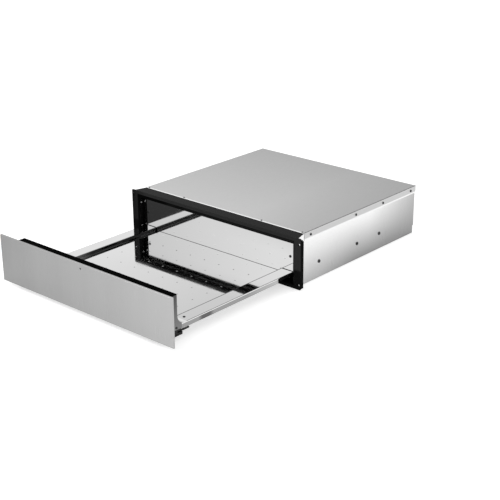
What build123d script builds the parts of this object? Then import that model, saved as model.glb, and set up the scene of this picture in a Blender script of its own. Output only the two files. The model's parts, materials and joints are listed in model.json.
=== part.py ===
"""Built-in warming drawer, drawn open as photographed.

X runs to the viewer's right, Y runs back into the cabinet, Z is up. Y = 0 is the front plane of the
black frame. Heights here are measured from the underside of the casing; the files are written with
the origin at the centre of the four screw holes in the frame's ears, on the seats of their screws.
"""

from build123d import *

import math
import os

os.makedirs("parts", exist_ok=True)

# ---------------------------------------------------------------- driving dimensions (mm)
# material and clearances
SHEET = 1.0  # steel sheet of the casing, the drawer and the brackets
WALL = 2.5  # wall of the moulded front frame
BEND_R = 0.9  # outside radius of folded sheet
RUN = 0.5  # clearance between parts that slide past one another
SEAT = 0.1  # gap where one casing sheet slips under another
SCREW_FIT = 0.15  # radial clearance round a screw or rivet that passes through sheet
SHAFT_FIT = 0.05  # radial clearance of what turns or slides in a bore
TINY = 0.01

# casing
CASING_HALF_W = 275.0  # outside of the side walls
CASING_H = 136.5  # top face of the cover
PLENUM_D = 51.0  # depth of the warm-air space behind the partition
TOP_FLANGE_W = 14.0  # side walls' inward flanges under the cover
BACK_STEP_H = 22.0  # height of the set-back foot of the rear wall
BACK_STEP_D = 3.5
REAR_FOLD = 14.0
COVER_FRONT = 33.6  # front edge of the cover
COVER_LAP = 2.5  # cover beyond the rear wall
COVER_FLANGE = 20.0  # height of the cover's folded side flanges
BEAD_L, BEAD_W, BEAD_H = 420.0, 16.0, 1.2  # stiffening beads in the floor
AIR_SLOT_L, AIR_SLOT_W, AIR_SLOTS = 24.0, 6.0, 4
LOUVRE_L, LOUVRE_W, LOUVRES, LOUVRE_PITCH = 112.0, 5.0, 4, 15.0

# front frame
EAR_W = 20.5  # ear beyond the casing's side wall
FRAME_DROP = 0.5  # frame's top below the cover's top face
FRAME_BOTTOM = 1.5
FRAME_CORNER_R = 3.0
JAMB_INSET = 5.2  # side of the opening, inside the wall's outer face
HEAD_H = 18.5  # frame above the opening
OPENING_BOTTOM = 10.5
BEVEL_TOP = 9.5  # height of the sloping band above the opening
BEVEL_SIDE = 5.0
BEVEL_D = 2.2
JAMB_D = 24.0
HEAD_D = 12.0
EAR_RETURN_D = 11.2
EAR_RETURN_T = 1.6
LEDGE_LAP = 9.6  # ledge's front corner beyond the side wall
LEDGE_GAP = 0.6  # between the ledge and the cover's front edge
LEDGE_STEP = 13.0  # part of the ledge that runs on under the cover
RIB_T, RIBS, RIB_PITCH = 1.8, 9, 60.0
EAR_HOLE_INSET = 5.5
EAR_HOLE_LOW = 12.0  # lower hole above the frame's bottom edge
EAR_HOLE_DROP = 15.5  # upper hole below the frame's top edge
EAR_HOLE_R = 2.25
EAR_SINK_R = 3.8
EAR_SINK_D = 0.7
JAMB_SCREW_Y = 9.0
JAMB_SCREW_INSET = (24.0, 16.0)  # above the opening's bottom, below its top
JAMB_BOSS_R = 4.5  # half the width of the square bosses round the jamb screws

# drawer: front panel and the box behind it
TRAVEL = 434.0  # the drawer's stroke from open to shut
PANEL_GAP = 3.0  # between the front panel and the frame when shut
PANEL_OVERHANG = 2.0  # panel beyond the frame's ears
PANEL_BOTTOM = 9.5
PANEL_LAP = 13.0  # panel above the top of the opening
PANEL_T = 5.0
PANEL_RIM = 1.2  # wall of the panel's tray
PANEL_EDGE_R = 0.7
LENS_DROP = 11.5
LENS_R = 2.1
LENS_PROUD = 0.4
BOX_D = 43.5  # from the panel's back to the pan side of the box
BOX_GAP = 6.3  # between the box's end plates and the sides of the opening
BOX_DROP = 2.0  # box below the top of the opening
STRIP_T = 2.5
STRIP_EDGE_R = 1.5
COVE_R = 25.0  # cove where the box sweeps into the pan's flange
COVE_FOOT = 6.0
END_FOLD_W = 12.0  # end plate's fold against the panel
END_LAP = 2.0  # end plate beyond the front end of the pan's lip
FLOOR_UPSTAND = 18.0  # box floor's fold against the panel
HOOK_START, HOOK_END = 1.0, 5.0  # slope of the box floor behind the box
HOOK_GAP = 3.0  # between the box floor's edge and the pan's riser
BOARD_HALF_L = 70.0  # touch board under the strip
BOARD_MARGIN = 6.0  # inside the box, front and rear
BOARD_T = 1.6
BOARD_STAND = 6.4  # length of the board's hexagonal posts
POST_R = 2.4
POST_INSET = (10.0, 4.0)  # from the board's ends and from its long edges
BOARD_PLUG = (14.0, 8.0, 7.0)
BOARD_CHIP = (14.0, 14.0, 2.0)

# drawer: pan and back wall
PAN_BASE_Z = 29.0  # top face of the base
PAN_END = 30.0  # rear edge, drawer open
PAN_FRONT_W = 33.5  # flange between the box and the pan
FLANGE_RISE = 8.3  # side flanges above the base
FLANGE_INSET = 3.5  # lip inside the box's end plates
FLANGE_W = 38.5
PAN_BOTTOM_R = 3.0
PAN_CORNER_R = 11.0
PAN_RIM_R = 1.2
LIP_H = 13.3
LIP_FRONT = 11.5  # lip starts behind the box's rear face
LIP_SHORT = 66.0  # lip ends ahead of the pan's rear edge
DIMPLE_PITCH = 50.0
DIMPLE_R = 2.2
DIMPLE_DEPTH = 0.45
DIMPLE_FACES = 8
DIMPLE_ROWS = 7
DIMPLE_COLUMNS = 8
DIMPLE_REAR = 35.0  # last row ahead of the pan's rear edge
BACK_WALL_INSET = 14.2
BACK_WALL_GAP = 3.8
BACK_WALL_DROP = 4.0
BACK_WALL_FOLD = 10.0
BACK_SCREW_INSET = 16.0
BACK_SCREW_Z = 75.5

# slides
RAIL_INSET = 3.0  # fixed rail inside the pan's lip
RAIL_T = 1.2
RAIL_C = 11.0  # width of each C rail
RAIL_LIP_H = 2.3
CABINET_RAIL_H = 12.4
DRAWER_RAIL_H = 13.4
MID_RAIL_H = 9.4
MID_RAIL_PLAY = 1.3
RAIL_START = 84.0
RAIL_REAR_GAP = 22.0
MID_LEAD = 18.0  # middle member ahead of the fixed rail when shut
MID_STOP = 2.0
DRAWER_RAIL_FRONT = 23.5
DRAWER_RAIL_SHORT = 2.0
PAD_L = 20.0
BRACKET_DROP = 10.0  # trough below the pan's lip
BRACKET_RISE = 12.7  # bracket's wall plate above the flanges
BRACKET_SCREW_FROM_START = (15.0, 175.0, 274.0)
BRACKET_SCREW_DROP = 6.0
BRACKET_SLOT_L, BRACKET_SLOT_W = 70.0, 7.0

# locking clip and its lever
CLIP_W = 18.0
CLIP_LAP = (10.5, 16.5)  # ahead of and behind the box's rear face
CLIP_CLEAR = 1.5  # above the opening's bottom
CLIP_SLOT_PLAY = 0.4
LEVER_T = 3.7
LEVER_UNDER_LIP = 0.8
LEVER_INSET = 11.5
LEVER_BEHIND = 6.5
LEVER_HUB_R = 4.6
LEVER_PIN_R = 2.0

# warm-air unit behind the partition
DUCT_GAP = 6.0  # between the shut drawer and the partition
DUCT_FOLD = 12.0
GUARD_W = 5.0  # bars of the fan's guard
FAN_INSET = 155.0  # fan's axis inside the left side wall
FAN_Z = 70.0
FAN_R = 40.0
FAN_GAP = 6.0
FAN_D = 16.0
BLADES = 12
SHROUD_R = 45.0
SHROUD_T = 1.5
MOTOR_R = 27.0
MOTOR_L = 19.0
SHAFT_R = 3.0
OUTLET_START = 40.0  # first end of the outlet slots, from the middle of the casing
OUTLET_INSET = 29.0  # their other end, inside the right side wall
OUTLET_Z = 42.0
OUTLET_SLOTS, OUTLET_PITCH, OUTLET_W = 4, 20.0, 6.0
HEATER_INSET = 39.0  # element's open end inside the right side wall
HEATER_Z = (60.0, 96.0)
HEATER_R = 3.2
HEATER_GAP = 15.0
CLAMP_INSET = (48.0, 36.0)  # from the element's two ends
CLAMP_W = 8.0
CUTOUT_AHEAD, CUTOUT_DROP, CUTOUT_R = 22.0, 20.5, 7.5  # beside the outlet, below the cover
MODULE_INSET, MODULE_W = 13.0, 78.0  # inside the left side wall
MODULE_DROP, MODULE_H = 14.5, 60.0  # below the cover
MODULE_D = 37.0
TERMINAL_INSET, TERMINAL_W = 25.0, 36.0
GLAND_INSET, GLAND_Z, GLAND_R, GLAND_BORE_R = 70.0, 44.0, 8.0, 3.6
LATCH_DROP = 3.5  # latch's axis below the pan's base
LATCH_HALF_W = 12.0
PLUNGER_R = 3.0
PLUNGER_L = 35.5

# screws and rivets, plain and lightly facetted: (head radius, head height)
HEAD_FACES = 10
SHANK_FACES = 6
HOLE_FACES = 8  # holes that a head hides
SHANK_R = 1.7
SMALL_SHANK_R = 1.3
BACK_SHANK_R = 2.0
RIVET_R = 1.6
SIDE_HEAD = (3.4, 1.8)
TOP_HEAD = (2.6, 1.1)
BRACKET_HEAD = (4.2, 2.2)
JAMB_HEAD = (2.8, 1.3)
LATCH_HEAD = (2.4, 1.2)
BACK_HEAD = (3.6, 1.6)
CLIP_HEAD = (2.9, 1.6)
RIVET_HEAD = (3.4, 1.2)
SCREW_L = 5.0
COVER_SCREW_FROM_FRONT = (29.4, 216.4, 336.4)
COVER_SCREW_FROM_BACK = 21.0
COVER_SCREW_DROP = 10.0
TOP_SCREW_FROM_SIDE = (139.0, 7.0)
TOP_SCREW_IN = 5.9  # behind the cover's front edge
REAR_SCREW_INSET = 45.0
REAR_SCREW_Z = (34.0, 100.0)
LATCH_SCREW_X = 8.0
LATCH_SCREW_UP = 5.6

# ---------------------------------------------------------------- sizes that follow
COVER_UNDER = CASING_H - SHEET
FRAME_TOP = CASING_H - FRAME_DROP
FRAME_HALF_W = CASING_HALF_W + EAR_W
OPENING_HALF_W = CASING_HALF_W - JAMB_INSET
OPENING_TOP = FRAME_TOP - HEAD_H
LEDGE_D = COVER_FRONT - LEDGE_GAP
EAR_HOLE_X = FRAME_HALF_W - EAR_HOLE_INSET
EAR_HOLE_Z = (FRAME_BOTTOM + EAR_HOLE_LOW, FRAME_TOP - EAR_HOLE_DROP)
MOUNT_Z = sum(EAR_HOLE_Z) / 2
JAMB_SCREW_Z = (OPENING_BOTTOM + JAMB_SCREW_INSET[0], OPENING_TOP - JAMB_SCREW_INSET[1])

PANEL_BACK = -(TRAVEL + PANEL_GAP)
PANEL_HALF_W = FRAME_HALF_W + PANEL_OVERHANG
PANEL_TOP = OPENING_TOP + PANEL_LAP
LENS_Z = PANEL_TOP - LENS_DROP
BOX_BACK = PANEL_BACK + BOX_D
BOX_HALF_W = OPENING_HALF_W - BOX_GAP
BOX_TOP = OPENING_TOP - BOX_DROP
PAN_FRONT = BOX_BACK + PAN_FRONT_W
FLANGE_Z = PAN_BASE_Z + FLANGE_RISE
FLANGE_HALF_W = BOX_HALF_W - FLANGE_INSET
PAN_HALF_W = FLANGE_HALF_W - FLANGE_W
LIP_BOTTOM = FLANGE_Z - LIP_H
LIP_START = BOX_BACK + LIP_FRONT
LIP_END = PAN_END - LIP_SHORT
BACK_WALL_Y = PAN_END - BACK_WALL_INSET
BACK_WALL_HALF_W = OPENING_HALF_W - BACK_WALL_GAP
BACK_WALL_TOP = OPENING_TOP - BACK_WALL_DROP
BACK_SCREW_X = BACK_WALL_HALF_W - BACK_SCREW_INSET

DUCT_Y = PAN_END + TRAVEL + DUCT_GAP
CASING_BACK = DUCT_Y + PLENUM_D
RAIL_OUT = FLANGE_HALF_W - RAIL_INSET
RAIL_Z = FLANGE_Z - SHEET - DRAWER_RAIL_H / 2
CABINET_OPEN_X = RAIL_OUT - RAIL_C
DRAWER_OPEN_X = CABINET_OPEN_X - RUN
DRAWER_WEB_X = DRAWER_OPEN_X - RAIL_C
CABINET_RAIL = (RAIL_START, DUCT_Y - RAIL_REAR_GAP)
MID_RAIL = (RAIL_START - MID_LEAD - TRAVEL / 2, CABINET_RAIL[1] - MID_STOP - TRAVEL / 2)
DRAWER_RAIL = (BOX_BACK + DRAWER_RAIL_FRONT, PAN_END - DRAWER_RAIL_SHORT)
MID_RAIL_X = (DRAWER_WEB_X + RAIL_T + MID_RAIL_PLAY, RAIL_OUT - RAIL_T - MID_RAIL_PLAY)
BRACKET_Z = (LIP_BOTTOM - BRACKET_DROP, FLANGE_Z + BRACKET_RISE)
BRACKET_SCREWS = [
    (RAIL_START + ahead, BRACKET_Z[1] - BRACKET_SCREW_DROP) for ahead in BRACKET_SCREW_FROM_START
]
COVER_SCREW_Z = CASING_H - COVER_SCREW_DROP
COVER_SCREWS = [(COVER_FRONT + back, COVER_SCREW_Z) for back in COVER_SCREW_FROM_FRONT]
COVER_SCREWS.append((CASING_BACK - COVER_SCREW_FROM_BACK, COVER_SCREW_Z))
JAMB_SCREWS = [(JAMB_SCREW_Y, z) for z in JAMB_SCREW_Z]
TOP_SCREW_X = [CASING_HALF_W - inset for inset in TOP_SCREW_FROM_SIDE]
TOP_SCREW_Y = COVER_FRONT + TOP_SCREW_IN
REAR_SCREW_X = CASING_HALF_W - REAR_SCREW_INSET
RIVET_X = DRAWER_WEB_X + RAIL_C / 2
RIVETS = ((PAN_FRONT + 11.0, 0.0), (PAN_END - 6.5, SHEET))  # (y, thickness riveted on top)

LEVER_PIVOT = (BOX_HALF_W - LEVER_INSET, BOX_BACK + LEVER_BEHIND)
LEVER_Z = (LIP_BOTTOM - LEVER_UNDER_LIP - LEVER_T, LIP_BOTTOM - LEVER_UNDER_LIP)
CLIP_SCREW = (BOX_BACK - 3.5, FLANGE_Z - 3.9)
FAN_X = FAN_INSET - CASING_HALF_W
OUTLET_X = (OUTLET_START, CASING_HALF_W - OUTLET_INSET)
HEATER_X = (OUTLET_START, CASING_HALF_W - HEATER_INSET)
CLAMP_X = (HEATER_X[0] + CLAMP_INSET[0], HEATER_X[1] - CLAMP_INSET[1])
CUTOUT_X = OUTLET_START - CUTOUT_AHEAD
CUTOUT_Z = CASING_H - CUTOUT_DROP
MODULE_X = (MODULE_INSET - CASING_HALF_W, MODULE_INSET + MODULE_W - CASING_HALF_W)
MODULE_Z = (CASING_H - MODULE_DROP - MODULE_H, CASING_H - MODULE_DROP)
TERMINAL_X = TERMINAL_INSET - CASING_HALF_W
GLAND_X = GLAND_INSET - CASING_HALF_W
FAN_Y = (DUCT_Y + SHEET + FAN_GAP, DUCT_Y + SHEET + FAN_GAP + FAN_D)
HEATER_Y = DUCT_Y + SHEET + HEATER_GAP
LATCH_Z = PAN_BASE_Z - LATCH_DROP
PLUNGER_TIP = PAN_END + TRAVEL + RUN
WIDE = 2 * FRAME_HALF_W  # reach of a cut that runs right across


# ---------------------------------------------------------------- helpers
TURN = {
    ("X", 1): Rot(0, 90, 0),
    ("X", -1): Rot(0, -90, 0),
    ("Y", 1): Rot(-90, 0, 0),
    ("Y", -1): Rot(90, 0, 0),
    ("Z", 1): Rot(0, 0, 0),
    ("Z", -1): Rot(180, 0, 0),
}


def block(x, y, z):
    """Solid box between pairs of limits."""
    size = (x[1] - x[0], y[1] - y[0], z[1] - z[0])
    centre = ((x[0] + x[1]) / 2, (y[0] + y[1]) / 2, (z[0] + z[1]) / 2)
    return Pos(*centre) * Box(*size)


def rod(axis, centre, radius, length):
    """Cylinder along X, Y or Z that starts at centre and runs the positive way."""
    return Pos(*centre) * TURN[(axis, 1)] * Pos(0, 0, length / 2) * Cylinder(radius, length)


def prism_x(points, x0, x1):
    """Extrude a (y, z) polygon from x0 to x1."""
    face = make_face(Polyline([(x0, y, z) for y, z in points], close=True))
    return extrude(face, amount=x1 - x0, dir=(1, 0, 0))


def prism_y(points, y0, y1):
    """Extrude an (x, z) polygon from y0 to y1."""
    face = make_face(Polyline([(x, y0, z) for x, z in points], close=True))
    return extrude(face, amount=y1 - y0, dir=(0, 1, 0))


def prism_z(points, z0, z1):
    """Extrude an (x, y) polygon from z0 to z1."""
    face = make_face(Polyline([(x, y, z0) for x, y in points], close=True))
    return extrude(face, amount=z1 - z0, dir=(0, 0, 1))


def strip_along(points, thickness):
    """Outline of a bent strip: the path in 2-D, thickened to its left."""
    left = []
    for i, point in enumerate(points):
        before = points[max(i - 1, 0)]
        after = points[min(i + 1, len(points) - 1)]
        a = left_normal(before, point) if i > 0 else None
        b = left_normal(point, after) if i < len(points) - 1 else None
        a = a or b
        b = b or a
        scale = thickness / (1 + a[0] * b[0] + a[1] * b[1])
        left.append((point[0] + (a[0] + b[0]) * scale, point[1] + (a[1] + b[1]) * scale))
    return list(points) + left[::-1]


def left_normal(p, q):
    dx, dy = q[0] - p[0], q[1] - p[1]
    length = math.hypot(dx, dy)
    return (-dy / length, dx / length)


def side_edges(shape, axis, half_w):
    """Edges along an axis that lie in the two planes X = +/- half_w."""
    return [edge for edge in shape.edges().filter_by(axis) if abs(abs(edge.center().X) - half_w) < TINY]


def slot_through(spot, length, width):
    """Cutter for a round-ended slot, centred on a plane or location."""
    return extrude(spot * SlotOverall(length, width), amount=3 * SHEET, both=True)


def mirrored(shape):
    """The same piece on the left-hand side."""
    return mirror(shape, about=Plane.YZ)


def both(shape):
    """A feature and its mirror image."""
    return shape + mirrored(shape)


def one(shapes):
    """Several separate solids as one node."""
    return Compound([solid for shape in shapes for solid in shape.solids()])


def fastener(axis, centre, direction, head, shank_r, shank_l):
    """Screw or rivet whose chamfered head stands off from centre towards direction."""
    head_r, head_h = head
    waist = Pos(0, 0, head_h / 2)
    crown = Pos(0, 0, head_h) * RegularPolygon(head_r * 0.62, HEAD_FACES)
    body = extrude(RegularPolygon(head_r, HEAD_FACES), head_h / 2)
    body += loft([waist * RegularPolygon(head_r, HEAD_FACES), crown])
    body += extrude(RegularPolygon(shank_r, SHANK_FACES), -shank_l)
    return Pos(*centre) * TURN[(axis, direction)] * body


def screw_hole(axis, centre, radius, length):
    """Cutter for a hole under a screw or rivet head, facetted round the stated radius."""
    outline = RegularPolygon(radius, HOLE_FACES, major_radius=False)
    return Pos(*centre) * TURN[(axis, 1)] * extrude(outline, length)


def wall_holes(body, spots, radius):
    """Screw holes through both side walls at the given (y, z)."""
    for side in (-1, 1):
        for y, z in spots:
            body -= screw_hole("X", (side * CASING_HALF_W - 2 * SHEET, y, z), radius, 4 * SHEET)
    return body


def write(shape, node):
    """Export with the origin at the centre of the four ear screws, on the seats of their heads."""
    solids = [Pos(0, -EAR_SINK_D, -MOUNT_Z) * solid for solid in shape.solids()]
    export_step(solids[0] if len(solids) == 1 else Compound(solids), f"parts/{node}.step")


def write_pair(shape, stem):
    write(shape, f"{stem}_right")
    write(mirrored(shape), f"{stem}_left")


# ---------------------------------------------------------------- casing
def casing_shell():
    """Floor, side walls and narrow inward flanges, folded from one sheet."""
    inner = CASING_HALF_W - SHEET
    top = COVER_UNDER - SEAT
    section = [
        (TOP_FLANGE_W - inner, top),
        (-CASING_HALF_W, top),
        (-CASING_HALF_W, 0),
        (CASING_HALF_W, 0),
        (CASING_HALF_W, top),
        (inner - TOP_FLANGE_W, top),
    ]
    body = prism_y(strip_along(section, SHEET), WALL, CASING_BACK)
    body = fillet(side_edges(body, Axis.Y, CASING_HALF_W), BEND_R)
    # the frame's ledge takes the front of the flanges, then of the walls
    body -= block((-inner, inner), (0, LEDGE_D + LEDGE_STEP + 1), (top - 5 * SHEET, top + 1))
    body -= block((-WIDE, WIDE), (0, COVER_FRONT + 1), (FRAME_TOP - WALL - 0.3, top + 1))
    body -= block((-WIDE, WIDE), (CASING_BACK - BACK_STEP_D, CASING_BACK + 1), (-1, BACK_STEP_H))
    body = wall_holes(body, BRACKET_SCREWS + COVER_SCREWS + JAMB_SCREWS, SHANK_R + SCREW_FIT)
    for share in (0.3, 0.68):
        body += Pos(0, CASING_BACK * share, SHEET) * extrude(SlotOverall(BEAD_L, BEAD_W), BEAD_H, taper=30)
    # air holes in the floor under the fan's outlet
    for i in range(AIR_SLOTS):
        spot = Pos(OUTLET_X[0] + 20 + i * 3 * AIR_SLOT_W, CASING_BACK - PLENUM_D / 2, SHEET / 2)
        body -= slot_through(spot * Rot(0, 0, 90), AIR_SLOT_L, AIR_SLOT_W)
    return body


def casing_cover():
    """Lid of one sheet whose side flanges lap the side walls."""
    outer = CASING_HALF_W + SHEET
    low = CASING_H - COVER_FLANGE
    section = [(outer, low), (outer, CASING_H), (-outer, CASING_H), (-outer, low)]
    body = prism_y(strip_along(section, SHEET), COVER_FRONT, CASING_BACK + COVER_LAP)
    crest = [edge for edge in side_edges(body, Axis.Y, outer) if edge.center().Z > CASING_H - TINY]
    body = fillet(crest, BEND_R)
    # the side flanges start a little behind the front edge
    notch = block((CASING_HALF_W, outer + 1), (COVER_FRONT - 1, COVER_FRONT + 5), (low - 1, CASING_H - 2.2))
    body -= both(notch)
    body = wall_holes(body, COVER_SCREWS, SHANK_R + SCREW_FIT)
    for x in TOP_SCREW_X:
        spot = (x, TOP_SCREW_Y, CASING_H - 2 * SHEET)
        body -= both(screw_hole("Z", spot, SHANK_R + SCREW_FIT, 4 * SHEET))
    return body


def casing_rear():
    """Rear wall with a set-back foot, folded against the floor, the cover and the side walls."""
    foot = CASING_BACK - BACK_STEP_D
    half = CASING_HALF_W - SHEET
    top = COVER_UNDER - SEAT - SHEET
    section = [
        (foot - REAR_FOLD, SHEET),
        (foot, SHEET),
        (foot, BACK_STEP_H + 1.5),
        (CASING_BACK, BACK_STEP_H + 1.5 + BACK_STEP_D),
        (CASING_BACK, top),
        (foot - REAR_FOLD, top),
    ]
    body = prism_x(strip_along(section, SHEET), -half, half)
    body += both(block((half - SHEET, half), (foot - REAR_FOLD, foot - SHEET / 2), (SHEET, top)))
    # louvre slots behind the fan
    for row in range(LOUVRES):
        height = FAN_Z + (row - (LOUVRES - 1) / 2) * LOUVRE_PITCH
        body -= slot_through(Pos(FAN_X, CASING_BACK, height) * Rot(90, 0, 0), LOUVRE_L, LOUVRE_W)
    body -= rod("Y", (GLAND_X, CASING_BACK - 3 * SHEET, GLAND_Z), GLAND_R + SCREW_FIT, 5 * SHEET)
    for z in REAR_SCREW_Z:
        spot = (REAR_SCREW_X, CASING_BACK - 3 * SHEET, z)
        body -= both(screw_hole("Y", spot, SHANK_R + SCREW_FIT, 5 * SHEET))
    return body


# ---------------------------------------------------------------- front frame
def front_frame():
    """Moulded frame: plate with ears, ledge, bevelled opening, jambs, ribs and screw bosses."""
    plate = block((-FRAME_HALF_W, FRAME_HALF_W), (0, WALL), (FRAME_BOTTOM, FRAME_TOP))
    plate = fillet(plate.edges().filter_by(Axis.Y), FRAME_CORNER_R)
    # returns along the outer edges of the ears, cut lower at their top
    outline = [
        (WALL / 2, FRAME_BOTTOM + FRAME_CORNER_R),
        (EAR_RETURN_D, FRAME_BOTTOM + FRAME_CORNER_R),
        (EAR_RETURN_D, FRAME_TOP - FRAME_CORNER_R - 6),
        (EAR_RETURN_D - 5, FRAME_TOP - FRAME_CORNER_R - 0.5),
        (WALL / 2, FRAME_TOP - FRAME_CORNER_R - 0.5),
    ]
    plate += both(prism_x(outline, FRAME_HALF_W - EAR_RETURN_T, FRAME_HALF_W))
    # ledge behind the top edge, narrowing towards the cover
    front = CASING_HALF_W + LEDGE_LAP
    ledge = [(-front, 0.5), (front, 0.5), (CASING_HALF_W, LEDGE_D), (-CASING_HALF_W, LEDGE_D)]
    plate += prism_z(ledge, FRAME_TOP - WALL, FRAME_TOP)
    # lower step of the ledge, under the cover's front edge
    step = CASING_HALF_W - 2 * SHEET - RUN
    step_top = COVER_UNDER - SEAT / 5
    plate += block((-step, step), (LEDGE_D - WALL, LEDGE_D + LEDGE_STEP), (FRAME_TOP - 2 * WALL, step_top))
    # head, jambs and sill return into the casing
    inner_x, outer_x = OPENING_HALF_W, OPENING_HALF_W + WALL
    ring = block((-outer_x, outer_x), (WALL / 2, JAMB_D), (OPENING_BOTTOM - WALL, OPENING_TOP + WALL))
    ring -= block((-WIDE, WIDE), (HEAD_D, JAMB_D + 1), (OPENING_TOP, OPENING_TOP + HEAD_H))
    plate += ring
    plate += block((-outer_x, outer_x), (WALL / 2, JAMB_D), (FRAME_BOTTOM, FRAME_BOTTOM + WALL))
    # bosses that meet the casing's side walls behind the jamb screws
    boss_x = (outer_x - 0.5, CASING_HALF_W - SHEET)
    for y, z in JAMB_SCREWS:
        boss_y, boss_z = (y - JAMB_BOSS_R, y + JAMB_BOSS_R), (z - JAMB_BOSS_R, z + JAMB_BOSS_R)
        plate += both(block(boss_x, boss_y, boss_z))
    # ribs between front plate, ledge and head
    for i in range(RIBS):
        x = (i - (RIBS - 1) / 2) * RIB_PITCH
        plate += block((x - RIB_T / 2, x + RIB_T / 2), (1, HEAD_D), (OPENING_TOP + 1, FRAME_TOP - 1))
    # bevelled opening
    plate -= frame_bevel()
    plate -= block((-inner_x, inner_x), (-1, JAMB_D + 1), (OPENING_BOTTOM, OPENING_TOP))
    for z in EAR_HOLE_Z:
        plate -= both(rod("Y", (EAR_HOLE_X, -1, z), EAR_HOLE_R, EAR_RETURN_D + 2))
        plate -= both(rod("Y", (EAR_HOLE_X, -1, z), EAR_SINK_R, 1 + EAR_SINK_D))
    for y, z in JAMB_SCREWS:
        spot = (inner_x - 1, y, z)
        plate -= both(screw_hole("X", spot, SHANK_R + SCREW_FIT, CASING_HALF_W - inner_x + 2))
    for x in TOP_SCREW_X:
        spot = (x, TOP_SCREW_Y, FRAME_TOP - 3 * WALL)
        plate -= both(screw_hole("Z", spot, SHANK_R + SCREW_FIT, 4 * WALL))
    return plate


def frame_bevel():
    """Cutter for the sloping band round the top and sides of the opening."""
    half = OPENING_HALF_W
    near = [
        (-half - BEVEL_SIDE, OPENING_BOTTOM),
        (half + BEVEL_SIDE, OPENING_BOTTOM),
        (half + BEVEL_SIDE, OPENING_TOP + BEVEL_TOP),
        (-half - BEVEL_SIDE, OPENING_TOP + BEVEL_TOP),
    ]
    far = [(-half, OPENING_BOTTOM), (half, OPENING_BOTTOM), (half, OPENING_TOP), (-half, OPENING_TOP)]
    near_face = make_face(Polyline([(x, 0, z) for x, z in near], close=True))
    far_face = make_face(Polyline([(x, BEVEL_D, z) for x, z in far], close=True))
    return loft([near_face, far_face])


# ---------------------------------------------------------------- slides
def rail_levels(height):
    return RAIL_Z - height / 2, RAIL_Z + height / 2


def c_rail(web_x, open_x, height, span):
    """Lipped C rail along Y with its open side towards open_x."""
    low, high = rail_levels(height)
    path = [
        (open_x, low + RAIL_LIP_H + RAIL_T),
        (open_x, low),
        (web_x, low),
        (web_x, high),
        (open_x, high),
        (open_x, high - RAIL_LIP_H - RAIL_T),
    ]
    return prism_y(strip_along(path, RAIL_T if open_x < web_x else -RAIL_T), *span)


def cabinet_rail():
    """Fixed member, closed at its rear end."""
    end = (CABINET_RAIL[1] - RAIL_T, CABINET_RAIL[1])
    body = c_rail(RAIL_OUT, CABINET_OPEN_X, CABINET_RAIL_H, CABINET_RAIL)
    return body + block((CABINET_OPEN_X + RAIL_T, RAIL_OUT), end, rail_levels(CABINET_RAIL_H))


def drawer_rail():
    """Moving member, closed at its front end and riveted under the pan's flange."""
    end = (DRAWER_RAIL[0], DRAWER_RAIL[0] + RAIL_T)
    body = c_rail(DRAWER_WEB_X, DRAWER_OPEN_X, DRAWER_RAIL_H, DRAWER_RAIL)
    body += block((DRAWER_WEB_X, DRAWER_OPEN_X - RAIL_T), end, rail_levels(DRAWER_RAIL_H))
    top = rail_levels(DRAWER_RAIL_H)[1]
    for y, _ in RIVETS:
        body -= screw_hole("Z", (RIVET_X, y, top - 2 * RAIL_T), RIVET_R + SCREW_FIT, 3 * RAIL_T)
    return body


def mid_rail():
    """Middle member: an I section that runs in both C rails."""
    levels = rail_levels(MID_RAIL_H)
    x0, x1 = MID_RAIL_X
    body = block((x0, x1), MID_RAIL, (RAIL_Z - RAIL_T / 2, RAIL_Z + RAIL_T / 2))
    body += block((x0, x0 + RAIL_T), MID_RAIL, levels)
    return body + block((x1 - RAIL_T, x1), MID_RAIL, levels)


def glide_pads():
    """Nylon blocks that guide the middle member, two at each end on each side."""
    pads = []
    rooms = (
        (MID_RAIL_X[0] + RAIL_T, DRAWER_OPEN_X - RAIL_T - RUN, DRAWER_RAIL_H),
        (CABINET_OPEN_X + RAIL_T + RUN, MID_RAIL_X[1] - RAIL_T, CABINET_RAIL_H),
    )
    for x0, x1, height in rooms:
        low, high = rail_levels(height - 2 * RAIL_T - 2 * RUN)
        for y in (MID_RAIL[0] + 4, MID_RAIL[1] - PAD_L - 4):
            for z in ((low, RAIL_Z - RAIL_T / 2), (RAIL_Z + RAIL_T / 2, high)):
                pads.append(block((x0, x1), (y, y + PAD_L), z))
    return one(pads)


def slide_bracket():
    """Trough that reaches round the pan's lip and carries the fixed rail; slotted, with end feet."""
    wall = CASING_HALF_W - SHEET
    low, high = BRACKET_Z
    path = [(RAIL_OUT, rail_levels(CABINET_RAIL_H)[1]), (RAIL_OUT, low), (wall, low), (wall, high)]
    body = prism_y(strip_along(path, RAIL_T), *CABINET_RAIL)
    for y, z in BRACKET_SCREWS:
        body -= screw_hole("X", (wall - 3 * RAIL_T, y, z), SHANK_R + SCREW_FIT, 5 * RAIL_T)
    span = CABINET_RAIL[1] - CABINET_RAIL[0]
    along = Rot(0, 0, 90)
    for share in (0.28, 0.72):
        spot = Pos((RAIL_OUT + wall) / 2, CABINET_RAIL[0] + share * span, low)
        body -= slot_through(spot * along, BRACKET_SLOT_L, BRACKET_SLOT_W)
    spot = Pos(wall, CABINET_RAIL[0] + span / 2, (low + high) / 2 + 2)
    body -= slot_through(spot * Rot(0, 90, 0) * along, BRACKET_SLOT_L, BRACKET_SLOT_W)
    for y in (CABINET_RAIL[0], CABINET_RAIL[1] - RAIL_T):
        body += block((RAIL_OUT, wall), (y, y + RAIL_T), (SHEET, low + RAIL_T / 2))
    return body


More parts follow.
